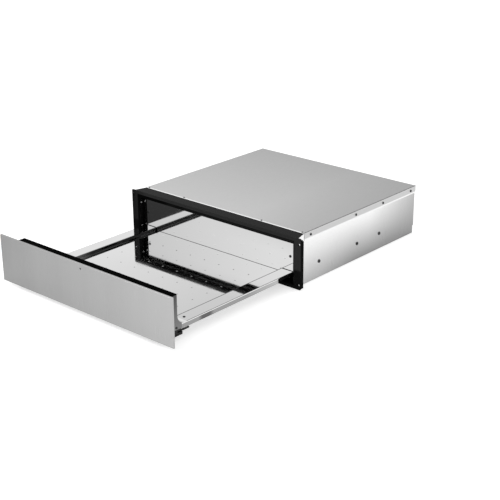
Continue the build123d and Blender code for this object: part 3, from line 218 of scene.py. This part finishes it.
def roughen(material, noise, smooth, rough):
    """Roughness that wanders between two values with the noise."""
    join(material, spread(material, noise, smooth, rough), shader_input(material, "Roughness"))


def relief(material, height, strength, distance):
    """Fine bump of the finish."""
    bump = add(material, "ShaderNodeBump", Strength=strength, Distance=distance)
    join(material, height, bump.inputs["Height"])
    join(material, bump.outputs["Normal"], shader_input(material, "Normal"))


# ---------------------------------------------------------------- sheet metal
METAL = 1.0
POLISH = 0.045  # roughness of a polished sheet


def front_steel():
    """Upright satin brush with a painted shade that darkens it a little towards the left, and soft broad
    streaks.
    """
    material = finish("front_steel", shade=0.68, metallic=METAL, roughness=0.32)
    reach = PANEL_EDGE + 0.0025
    across = ramp(material, place(material, "X"), start=-reach, end=reach)
    broad = grain(material, stretch=(14.0, 14.0, 0.6), detail=2.0)
    streaks = spread(material, broad, low=-0.05, high=0.05)
    tone = sums(material, "ADD", across, streaks)
    # painted shade across the panel: darker at the left, lighter at the right
    at_left = grey(0.60)
    at_right = grey(0.725)
    colour_with(material, blend(material, tone, at_left, at_right))
    brush = grain(material, stretch=(1400.0, 1400.0, 8.0))
    roughen(material, brush, smooth=0.27, rough=0.37)
    relief(material, brush, strength=0.10, distance=0.00003)
    return material


def mirror_skin(material):
    """Slight clouding of a polished sheet."""
    roughen(material, grain(material, scale=14.0), smooth=0.03, rough=0.07)
    return material


def polished_steel():
    """Mirror finish of the front box."""
    return mirror_skin(finish("polished_steel", shade=0.86, metallic=METAL, roughness=POLISH))


def back_wall_steel():
    """Mirror finish of the drawer's back wall, with a painted reflection a little brighter towards the
    right.
    """
    material = finish("back_wall_steel", shade=0.95, metallic=METAL, roughness=POLISH)
    # painted reflection: the wall brighter towards the right
    rightward = ramp(material, place(material, "X"), start=-0.26, end=0.20)
    at_left = grey(0.885)
    at_right = grey(0.985)
    colour_with(material, blend(material, rightward, at_left, at_right))
    return mirror_skin(material)


def pan_steel():
    """Mirror finish of the pan with painted reflections and shade: a darker right front on the base, dark
    dimples, a dark flange rim, dark risers and bends, and lips with a dark spot under a painted highlight.
    """
    material = finish("pan_steel", shade=0.86, metallic=METAL, roughness=POLISH)
    x = place(material, "X")
    y = place(material, "Y")
    z = place(material, "Z")
    aside = unsigned(material, x)
    upward = facing(material, "Z")
    steep = ramp(material, unsigned(material, facing(material, "X")), start=0.10, end=0.45)

    # base, with a painted shade that darkens it towards its right front
    rightward = ramp(material, x, start=-0.22, end=0.24)
    forward = ramp(material, y, start=-0.08, end=-0.20)
    clear = grey(0.865)
    darker_tone = grey(0.775)
    colour = blend(material, both(material, rightward, forward), clear, darker_tone)

    # dimples: everything that faces up just below the base, darkened by a painted reflection
    sunk = ramp(material, z, start=PAN_BASE - 0.00004, end=PAN_BASE - 0.0002)
    dimple = both(material, sunk, ramp(material, upward, start=0.3, end=0.6))
    painted_dimple_shade = grey(0.50)
    colour = blend(material, dimple, colour, painted_dimple_shade)

    # the flange's inner rim, a painted dark line of shade along its bend
    within = ramp(material, aside, start=FLANGE_RIM + 0.0002, end=FLANGE_RIM - 0.0002)
    high = ramp(material, z, start=FLANGE_TOP - 0.0023, end=FLANGE_TOP - 0.0013)
    rim = grey(0.42)
    colour = blend(material, both(material, within, high), colour, rim)

    # risers and the rim above them, a painted reflection darker towards the rear
    outer = ramp(material, aside, start=LIP_BEND, end=LIP_BEND + 0.0007)
    inner = sums(material, "SUBTRACT", 1.0, outer)
    front_riser = grey(0.60)
    rear_riser = grey(0.15)
    riser = blend(material, ramp(material, y, start=-0.36, end=-0.22), front_riser, rear_riser)
    colour = blend(material, both(material, inner, steep), colour, riser)

    # lips: the grey face, a painted reflection with one dark reflected spot, under a painted highlight line
    front_lip = grey(0.60)
    rear_lip = grey(0.76)
    face = blend(material, ramp(material, y, start=-0.16, end=-0.03), front_lip, rear_lip)
    spot_middle = -0.298
    from_spot = unsigned(material, sums(material, "SUBTRACT", y, spot_middle))
    painted_reflection_spot = grey(0.39)
    face = blend(material, ramp(material, from_spot, start=0.026, end=0.013), face, painted_reflection_spot)
    near_bend = ramp(material, z, start=FLANGE_TOP - 0.0029, end=FLANGE_TOP - 0.0021)
    bright = grey(0.93)
    face = blend(material, near_bend, face, bright)
    colour = blend(material, both(material, outer, steep), colour, face)

    # the dark bend above each lip, a painted reflection
    bend = ramp(material, aside, start=LIP_BEND, end=LIP_BEND + 0.0003)
    bend = both(material, bend, ramp(material, upward, start=0.25, end=0.45))
    dark = grey(0.34)
    colour_with(material, blend(material, bend, colour, dark))
    return mirror_skin(material)


def end_plate_steel():
    """Polished side of the front box with a painted reflection of what it faces, darker towards the top,
    and painted shade that darkens it more behind the front panel.
    """
    material = finish("end_plate_steel", shade=0.40, metallic=METAL, roughness=0.16)
    rise = ramp(material, place(material, "Z"), start=-0.04, end=0.048)
    # tones of a painted reflection, darker towards the top; the painted shade tones are darker still
    clear_foot = grey(0.50)
    clear_top = grey(0.30)
    painted_shade_foot = grey(0.39)
    painted_shade_top = grey(0.20)
    clear = blend(material, rise, clear_foot, clear_top)
    painted_shade_steel = blend(material, rise, painted_shade_foot, painted_shade_top)
    rearward = ramp(material, place(material, "Y"), start=-0.412, end=-0.400)
    colour_with(material, blend(material, rearward, painted_shade_steel, clear))
    roughen(material, grain(material, stretch=(8.0, 8.0, 260.0)), smooth=0.13, rough=0.19)
    return material


def casing_steel():
    """Satin coated cover with painted light: a painted highlight along the front edge, a painted highlight
    on the side flanges that is brightest at their foot, painted shade towards the rear and the right of the
    top, and a painted dark line along each bend.
    """
    material = finish("casing_steel", shade=0.73, metallic=METAL, roughness=0.38)
    x = place(material, "X")
    y = place(material, "Y")
    upward = facing(material, "Z")

    # top, with painted shade that darkens it towards the rear and the right, and a painted highlight along
    # its front edge
    rearward = ramp(material, y, start=0.03, end=0.53)
    middle_front = grey(0.765)
    middle_rear = grey(0.655)
    right_front = grey(0.690)
    right_rear = grey(0.625)
    middle = blend(material, rearward, middle_front, middle_rear)
    right = blend(material, rearward, right_front, right_rear)
    top = blend(material, ramp(material, x, start=0.08, end=0.28), middle, right)
    hem = ramp(material, y, start=COVER_FRONT + 0.0049, end=COVER_FRONT + 0.0041)
    bright = grey(0.97)
    top = blend(material, hem, top, bright)

    # side flanges, a painted highlight brightest at the foot
    rise = ramp(material, place(material, "Z"), start=COVER_FOOT + 0.0025, end=COVER_FOOT + 0.0050)
    flange = grey(0.80)
    side = blend(material, rise, bright, flange)
    colour = blend(material, ramp(material, upward, start=0.8, end=0.4), top, side)

    # the line of each bend, a painted dark line of shade
    bend = ramp(material, unsigned(material, x), start=COVER_BEND, end=COVER_BEND + 0.0003)
    bend = both(material, bend, ramp(material, upward, start=0.15, end=0.35))
    dark = grey(0.20)
    colour_with(material, blend(material, bend, colour, dark))
    skin = grain(material, stretch=(900.0, 60.0, 900.0))
    roughen(material, skin, smooth=0.34, rough=0.42)
    relief(material, skin, strength=0.05, distance=0.00003)
    return material


def casing_side_steel():
    """Bright rolled sheet with a painted reflection that falls off towards the rear and the foot."""
    material = finish("casing_side_steel", shade=0.93, metallic=METAL, roughness=0.24)
    y = place(material, "Y")
    height = ramp(material, place(material, "Z"), start=CASING_FOOT, end=0.048)
    depth = sums(material, "SUBTRACT", 1.0, height)
    # painted reflection: dimmer towards the rear at the top and towards the foot
    rear_top = ramp(material, y, start=0.31, end=0.53, low=0.0, high=0.74)
    rear_foot = ramp(material, y, start=0.0, end=0.25, low=0.56, high=1.0)
    painted_dim_top = both(material, rear_top, height)
    painted_dim_foot = both(material, rear_foot, depth)
    reflection_falloff = sums(material, "ADD", painted_dim_top, painted_dim_foot)
    bright = grey(0.96)
    darker_tone = grey(0.585)
    colour_with(material, blend(material, reflection_falloff, bright, darker_tone))
    roughen(material, grain(material, stretch=(1.0, 260.0, 8.0)), smooth=0.20, rough=0.28)
    return material


def zinc_sheet():
    """Zinc coating with its faint spangle."""
    material = finish("zinc_sheet", shade=0.70, metallic=METAL, roughness=0.36)
    cells = add(material, "ShaderNodeTexVoronoi", Scale=170.0)
    source = material.node_tree.nodes.new("ShaderNodeTexCoord")
    join(material, source.outputs["Object"], cells.inputs["Vector"])
    spangle = cells.outputs["Color"]
    darker_tone = grey(0.66)
    bright = grey(0.75)
    colour_with(material, blend(material, spangle, darker_tone, bright))
    sheen = ramp(material, spangle, start=0.0, end=1.0, low=0.30, high=0.44)
    join(material, sheen, shader_input(material, "Roughness"))
    return material


# ---------------------------------------------------------------- mouldings, paint and small metal
def frame_black():
    """Black moulding with painted light and shade: charcoal front, painted shade on the bevels, the ledge
    and low parts, and a painted paler underside under the lintel.
    """
    material = finish("frame_black", shade=0.17, metallic=0.0, roughness=0.22, specular=0.015)

    # flat front, with painted shade that darkens it over the left ear and low down
    over_left_ear = ramp(material, place(material, "X"), start=-0.296, end=-0.24)
    left_ear = grey(0.115)
    front = grey(0.20)
    face = blend(material, over_left_ear, left_ear, front)
    downwards = ramp(material, place(material, "Z"), start=-0.012, end=-0.018)
    low_down = grey(0.08)
    face = blend(material, downwards, face, low_down)

    # bevels and ledge in painted shade, and the lintel's underside painted paler as painted light
    faces_down = ramp(material, facing(material, "Z"), start=-0.60, end=-0.80)
    bevel = grey(0.045)
    underside = grey(0.22)
    other = blend(material, faces_down, bevel, underside)
    flat_front = ramp(material, facing(material, "Y"), start=-0.985, end=-0.995)
    colour_with(material, blend(material, flat_front, other, face))
    relief(material, grain(material, scale=900.0, detail=2.0), strength=0.02, distance=0.00002)
    return material


def tinted(shade, tint):
    """Linear colour of a grey that leans to a tint."""
    return tuple(channel * part for channel, part in zip(grey(shade), tint))


def moulded(name, shade, roughness, specular=0.3, tint=EVEN):
    """Plastic or paint with a fine skin; its tone wanders by 6 per cent."""
    material = finish(name, shade, metallic=0.0, roughness=roughness, specular=specular)
    skin = grain(material, scale=900.0, detail=2.0)
    dark = tinted(shade * 0.94, tint)
    light = tinted(shade * 1.06, tint)
    colour_with(material, blend(material, spread(material, skin), dark, light))
    relief(material, skin, strength=0.06, distance=0.00004)
    return material


def worn(name, shade, metallic, roughness, specular=0.5, play=0.04):
    """Plated metal or glass; its tone wanders by 5 per cent and its roughness by the play."""
    material = finish(name, shade, metallic, roughness, specular)
    wear = spread(material, grain(material, scale=260.0, detail=2.0))
    colour_with(material, blend(material, wear, grey(shade * 0.95), grey(shade * 1.05)))
    sheen = ramp(material, wear, 0.0, 1.0, roughness - play, roughness + play)
    join(material, sheen, shader_input(material, "Roughness"))
    return material


# ---------------------------------------------------------------- a finish for each slot and node
FINISHES = {
    "front_steel": front_steel(),
    "polished_steel": polished_steel(),
    "casing_steel": casing_steel(),
    "casing_side_steel": casing_side_steel(),
    "zinc_sheet": zinc_sheet(),
    "frame_black": frame_black(),
    "strip_glass": worn("strip_glass", 0.01, metallic=0.0, roughness=0.08, specular=0.001, play=0.01),
    "clip_black": moulded("clip_black", 0.12, roughness=0.45, specular=0.25),
    "slide_black": worn("slide_black", 0.12, metallic=0.4, roughness=0.42, specular=0.2),
    "screw_black": worn("screw_black", 0.26, metallic=0.9, roughness=0.26),
    "screw_bright": worn("screw_bright", 0.62, metallic=1.0, roughness=0.28),
    "glide_nylon": moulded("glide_nylon", 0.84, roughness=0.45, tint=(1.0, 0.96, 0.84)),
    "lens_dark": worn("lens_dark", 0.10, metallic=0.0, roughness=0.08, specular=0.4, play=0.01),
    "heater_sheath": moulded("heater_sheath", 0.34, roughness=0.5),
    "motor_grey": moulded("motor_grey", 0.45, roughness=0.45),
    "impeller_alloy": worn("impeller_alloy", 0.78, metallic=1.0, roughness=0.32),
    "module_grey": moulded("module_grey", 0.62, roughness=0.5),
    "terminal_cream": moulded("terminal_cream", 0.83, roughness=0.5, tint=(1.0, 0.91, 0.68)),
    "board_green": moulded("board_green", 0.38, roughness=0.4, tint=(0.17, 1.0, 0.42)),
}


def dress(node, material):
    """Give a CAD node one finish."""
    mesh = nodes[node].data
    mesh.materials.clear()
    mesh.materials.append(material)


for node, slot in slots.items():
    dress(node, FINISHES[slot])
# the end plates' finish, with its painted reflection and painted shade
painted_shade_steel = end_plate_steel()
for side in ("left", "right"):
    dress(f"end_plate_{side}", painted_shade_steel)
dress("drawer_pan", pan_steel())
dress("drawer_back_wall", back_wall_steel())
dress("pan_rivets", FINISHES["clip_black"])


# ---------------------------------------------------------------- new pieces
def mesh_of(form, name):
    """The mesh of a finished form."""
    mesh = bpy.data.meshes.new(name)
    form.to_mesh(mesh)
    form.free()
    return mesh


def put(name, data):
    """New object in the scene."""
    thing = bpy.data.objects.new(name, data)
    bpy.context.scene.collection.objects.link(thing)
    return thing


# ---------------------------------------------------------------- screw heads
SEATS = {
    # node: (axis, which way it faces, head radius and height in mm, recess)
    "cover_side_screws": ("X", "out", 3.4, 1.8, True),
    "cover_front_screws": ("Z", 1, 2.6, 1.1, True),
    "bracket_screws": ("X", "out", 4.7, 2.2, True),
    "jamb_screws": ("X", "in", 2.8, 1.3, True),
    "rear_screws": ("Y", 1, 3.4, 1.8, True),
    "latch_screws": ("Y", -1, 2.4, 1.2, True),
    "back_wall_screws": ("Y", -1, 3.6, 1.6, True),
    "clip_screws": ("X", "out", 2.9, 1.6, True),
    "pan_rivets": ("Z", 1, 3.4, 1.2, False),
}
AXES = {"X": Vector((1, 0, 0)), "Y": Vector((0, 1, 0)), "Z": Vector((0, 0, 1))}
MM = 1000  # millimetres in a metre
SHANK = 0.4  # share of the head's radius
CROWN = ((1.0, 0.34), (0.93, 0.66), (0.74, 0.88), (0.45, 0.98), (0.0, 1.0))  # shares of radius, height
RECESS_TIP = 0.20  # share of the head's radius, as is the mouth
RECESS_MOUTH = 0.80
RECESS_DEPTH = 0.9  # share of the head's height, as is the middle
RECESS_MIDDLE = 0.72
RECESS_NARROW = 0.26  # width of an arm against its length
FIRST_TURN = 0.5  # radians; each screw of a row stops at another angle
NEXT_TURN = 1.1


def turned(profile, steps=24):
    """Solid of revolution about Z from (radius, height) points that start and end on the axis."""
    form = bmesh.new()
    verts = [form.verts.new((radius, 0, height)) for radius, height in profile]
    edges = [form.edges.new(pair) for pair in zip(verts, verts[1:])]
    bmesh.ops.spin(
        form,
        geom=verts + edges,
        cent=(0, 0, 0),
        axis=(0, 0, 1),
        angle=math.tau,
        steps=steps,
        use_merge=True,
    )
    bmesh.ops.remove_doubles(form, verts=form.verts, dist=1e-7)
    bmesh.ops.recalc_face_normals(form, faces=form.faces)
    return form


def recess_cutter(radius, height):
    """Two crossed tapered blades that leave a cross recess."""
    cross = bmesh.new()
    for turn in (0, math.pi / 2):
        blade = bmesh.ops.create_cone(
            cross,
            cap_ends=True,
            segments=4,
            radius1=radius * RECESS_TIP,
            radius2=radius * RECESS_MOUTH,
            depth=height * RECESS_DEPTH,
        )["verts"]
        bmesh.ops.rotate(cross, verts=blade, matrix=Matrix.Rotation(math.pi / 4, 3, "Z"))
        bmesh.ops.scale(cross, verts=blade, vec=(1.0, RECESS_NARROW, 1.0))
        bmesh.ops.rotate(cross, verts=blade, matrix=Matrix.Rotation(turn, 3, "Z"))
        bmesh.ops.translate(cross, verts=blade, vec=(0, 0, height * RECESS_MIDDLE))
    return cross


def head_mesh(name, radius, height, recess):
    """Pan head with a short shank; a cross recess is cut into it where asked."""
    profile = [(0, -height), (radius * SHANK, -height), (radius * SHANK, 0), (radius, 0)]
    profile += [(radius * out, height * up) for out, up in CROWN]
    mesh = mesh_of(turned(profile), name)
    if not recess:
        return mesh
    head = put(name, mesh)
    cutter = put(name + "_cutter", mesh_of(recess_cutter(radius, height), name + "_cutter"))
    cut = head.modifiers.new("recess", "BOOLEAN")
    cut.operation = "DIFFERENCE"
    cut.solver = "EXACT"
    cut.use_self = True
    cut.object = cutter
    bpy.context.view_layer.update()
    shaped = bpy.data.meshes.new_from_object(head.evaluated_get(bpy.context.evaluated_depsgraph_get()))
    for item in (head, cutter):
        bpy.data.objects.remove(item)
    return shaped


def seats(node):
    """Box of each separate fastener in a CAD node, as (lowest, highest) corners."""
    form = bmesh.new()
    form.from_mesh(nodes[node].data)
    bmesh.ops.remove_doubles(form, verts=form.verts, dist=1e-6)
    unseen = set(form.verts)
    boxes = []
    while unseen:
        fastener = set()
        waiting = [unseen.pop()]
        while waiting:
            vert = waiting.pop()
            fastener.add(vert)
            for link in vert.link_edges:
                other = link.other_vert(vert)
                if other in unseen:
                    unseen.discard(other)
                    waiting.append(other)
        corners = [vert.co for vert in fastener]
        low = Vector([min(corner[axis] for corner in corners) for axis in range(3)])
        high = Vector([max(corner[axis] for corner in corners) for axis in range(3)])
        boxes.append((low, high))
    form.free()
    return sorted(boxes, key=lambda box: tuple(round(v, 4) for v in box[0]))


def sign_of(way, centre):
    """Which way along its axis a head faces: out from the middle, in to it, or as given."""
    if way == "out":
        return 1 if centre.x > 0 else -1
    if way == "in":
        return -1 if centre.x > 0 else 1
    return way


def fit_heads(node, material):
    """Modelled heads in place of a fastener node's plain ones."""
    axis, way, radius, height, recess = SEATS[node]
    radius, height = radius / MM, height / MM
    template = head_mesh(node + "_head", radius, height, recess)
    number = "XYZ".index(axis)
    whole = bmesh.new()
    for index, (low, high) in enumerate(seats(node)):
        centre = (low + high) / 2
        sign = sign_of(way, centre)
        crown = high[number] if sign > 0 else low[number]
        centre[number] = crown - sign * height
        spin = Matrix.Rotation(FIRST_TURN + NEXT_TURN * index, 4, "Z")
        turn = (AXES[axis] * sign).to_track_quat("Z", "Y").to_matrix().to_4x4()
        before = len(whole.verts)
        whole.from_mesh(template)
        whole.verts.ensure_lookup_table()
        new = whole.verts[before:]
        bmesh.ops.transform(whole, matrix=Matrix.Translation(centre) @ turn @ spin, verts=new)
    mesh = mesh_of(whole, node + "_dressed")
    mesh.materials.append(material)
    piece = put(node + "_dressed", mesh)
    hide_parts(node)
    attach(piece, nodes[node]["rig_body"])


for node in SEATS:
    fit_heads(node, nodes[node].data.materials[0])


# ---------------------------------------------------------------- wall foot shadow bead, a painted shadow
BASE_END = 0.2195  # the bead stops short of the pan's risers
FLANGE_START = FLANGE_RIM - 0.0005
FLANGE_END = PAN_EDGE - 0.0010
SHADOW_BEAD_DEPTH = 0.0004
SHADOW_BEAD_ROUNDING = 0.00008
SHADOW_BEAD_RUNS = (
    # from x, to x, foot z, height
    (-BASE_END, BASE_END, PAN_BASE, 0.0006),
    (-FLANGE_END, -FLANGE_START, FLANGE_TOP, 0.0012),
    (FLANGE_START, FLANGE_END, FLANGE_TOP, 0.0012),
)


def lay_wall_foot_shadow():
    """Black bead along the foot of the drawer's back wall, thicker over the flanges: a painted shadow in
    the gap where the wall meets the pan.
    """
    form = bmesh.new()
    for start, end, foot, height in SHADOW_BEAD_RUNS:
        bead = bmesh.ops.create_cube(form, size=1.0)["verts"]
        bmesh.ops.scale(form, verts=bead, vec=(end - start, SHADOW_BEAD_DEPTH, height))
        middle = ((start + end) / 2, WALL_FACE - SHADOW_BEAD_DEPTH / 2, foot + height / 2)
        bmesh.ops.translate(form, verts=bead, vec=middle)
    bmesh.ops.bevel(
        form,
        geom=form.edges,
        offset=SHADOW_BEAD_ROUNDING,
        offset_type="OFFSET",
        affect="EDGES",
        segments=2,
        profile=0.5,
        material=-1,
    )
    mesh = mesh_of(form, "wall_foot_shadow_bead")
    mesh.materials.append(FINISHES["clip_black"])
    shadow_bead = put("wall_foot_shadow_bead", mesh)
    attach(shadow_bead, nodes["drawer_back_wall"]["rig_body"])


lay_wall_foot_shadow()


# ---------------------------------------------------------------- studio
FLOOR_SIZE = 12.0
FLOOR_GAP = 0.0005  # between the part's foot and the floor
FLOOR_SEEN = 0.60  # glow of the floor where the camera sees it
FLOOR_MIRRORED = 0.45  # glow of the floor in polished faces
ROOM_LIGHT = 0.72  # strength of the white room as a light
ROOM_SEEN = 1.0  # strength of the white room as it is seen or mirrored
CARD_SHADE = 0.24
CARD_LEFT = -0.90
CARD_RIGHT = -0.275  # under the casing's left side
CARD_REAR = -0.01
CARD_FRONT = -0.40  # at its right end
CARD_CORNER = -0.75  # front of its left end


def lay_floor():
    """Pale floor that shows white to the camera and keeps the part's shadow."""
    form = bmesh.new()
    bmesh.ops.create_grid(form, x_segments=1, y_segments=1, size=FLOOR_SIZE)
    bmesh.ops.translate(form, verts=form.verts, vec=(0, 0, cad_low.z - FLOOR_GAP))
    mesh = mesh_of(form, "studio_floor")
    floor = put("studio_floor", mesh)
    material = finish("studio_floor", shade=0.9, metallic=0.0, roughness=0.9, specular=0.0)
    shader_input(material, "Emission Color").default_value = (1, 1, 1, 1)
    path = material.node_tree.nodes.new("ShaderNodeLightPath")
    direct = sums(material, "MULTIPLY", path.outputs["Is Camera Ray"], FLOOR_SEEN)
    mirrored = sums(material, "MULTIPLY", path.outputs["Is Glossy Ray"], FLOOR_MIRRORED)
    join(material, sums(material, "MAXIMUM", direct, mirrored), shader_input(material, "Emission Strength"))
    mesh.materials.append(material)


def lay_flag(name, corners, shade):
    """Dark card that only polished faces see: it stands for the unlit side of the studio."""
    form = bmesh.new()
    form.faces.new([form.verts.new(corner) for corner in corners])
    mesh = mesh_of(form, name)
    mesh.materials.append(finish(name, shade, metallic=0.0, roughness=1.0, specular=0.0))
    flag = put(name, mesh)
    flag.visible_camera = False
    flag.visible_diffuse = False
    flag.visible_shadow = False


def light_room():
    """Even white room."""
    world = bpy.data.worlds.new("studio_room")
    bpy.context.scene.world = world
    world.use_nodes = True
    tree = world.node_tree
    back = tree.nodes["Background"]
    back.inputs["Color"].default_value = (1, 1, 1, 1)
    path = tree.nodes.new("ShaderNodeLightPath")
    seen = tree.nodes.new("ShaderNodeMath")
    seen.operation = "MAXIMUM"
    level = tree.nodes.new("ShaderNodeMapRange")
    level.inputs["To Min"].default_value = ROOM_LIGHT
    level.inputs["To Max"].default_value = ROOM_SEEN
    tree.links.new(path.outputs["Is Camera Ray"], seen.inputs[0])
    tree.links.new(path.outputs["Is Glossy Ray"], seen.inputs[1])
    tree.links.new(seen.outputs[0], level.inputs["Value"])
    tree.links.new(level.outputs["Result"], back.inputs["Strength"])


def hang_lamp(name, spot, target, size, power):
    """Soft rectangular lamp aimed at a point."""
    data = bpy.data.lights.new(name, "AREA")
    data.shape = "RECTANGLE"
    data.size, data.size_y = size
    data.energy = power
    lamp = put(name, data)
    lamp.location = spot
    lamp.rotation_euler = (Vector(target) - Vector(spot)).to_track_quat("-Z", "Y").to_euler()


lay_floor()
light_room()
hang_lamp("key_lamp", spot=(-1.6, -1.4, 2.6), target=(0, 0, 0), size=(1.6, 1.6), power=22)
lay_flag(
    "left_flag",
    [
        (CARD_LEFT, CARD_CORNER, cad_low.z),
        (CARD_RIGHT, CARD_FRONT, cad_low.z),
        (CARD_RIGHT, CARD_REAR, cad_low.z),
        (CARD_LEFT, CARD_REAR, cad_low.z),
    ],
    CARD_SHADE,
)


# ---------------------------------------------------------------- camera
SENSOR = 36.0  # millimetres, as is the lens
LENS = 82.83
FAR = 50.0  # metres
EYE = (1.91259, -2.02136, 1.06227)
TILT = 68.4697  # degrees up from straight down
ROLL = 0.2884  # degrees
TURN = 41.2762  # degrees round from the front


def set_camera():
    """The photograph's eye: 41 degrees round from the front, 22 degrees up."""
    data = bpy.data.cameras.new("camera")
    data.sensor_width = SENSOR
    data.lens = LENS
    data.clip_end = FAR
    camera = put("camera", data)
    aim = Euler([math.radians(angle) for angle in (TILT, ROLL, TURN)])
    camera.matrix_world = Matrix.Translation(EYE) @ aim.to_matrix().to_4x4()
    bpy.context.scene.camera = camera


set_camera()
bpy.context.scene.view_settings.view_transform = "Standard"
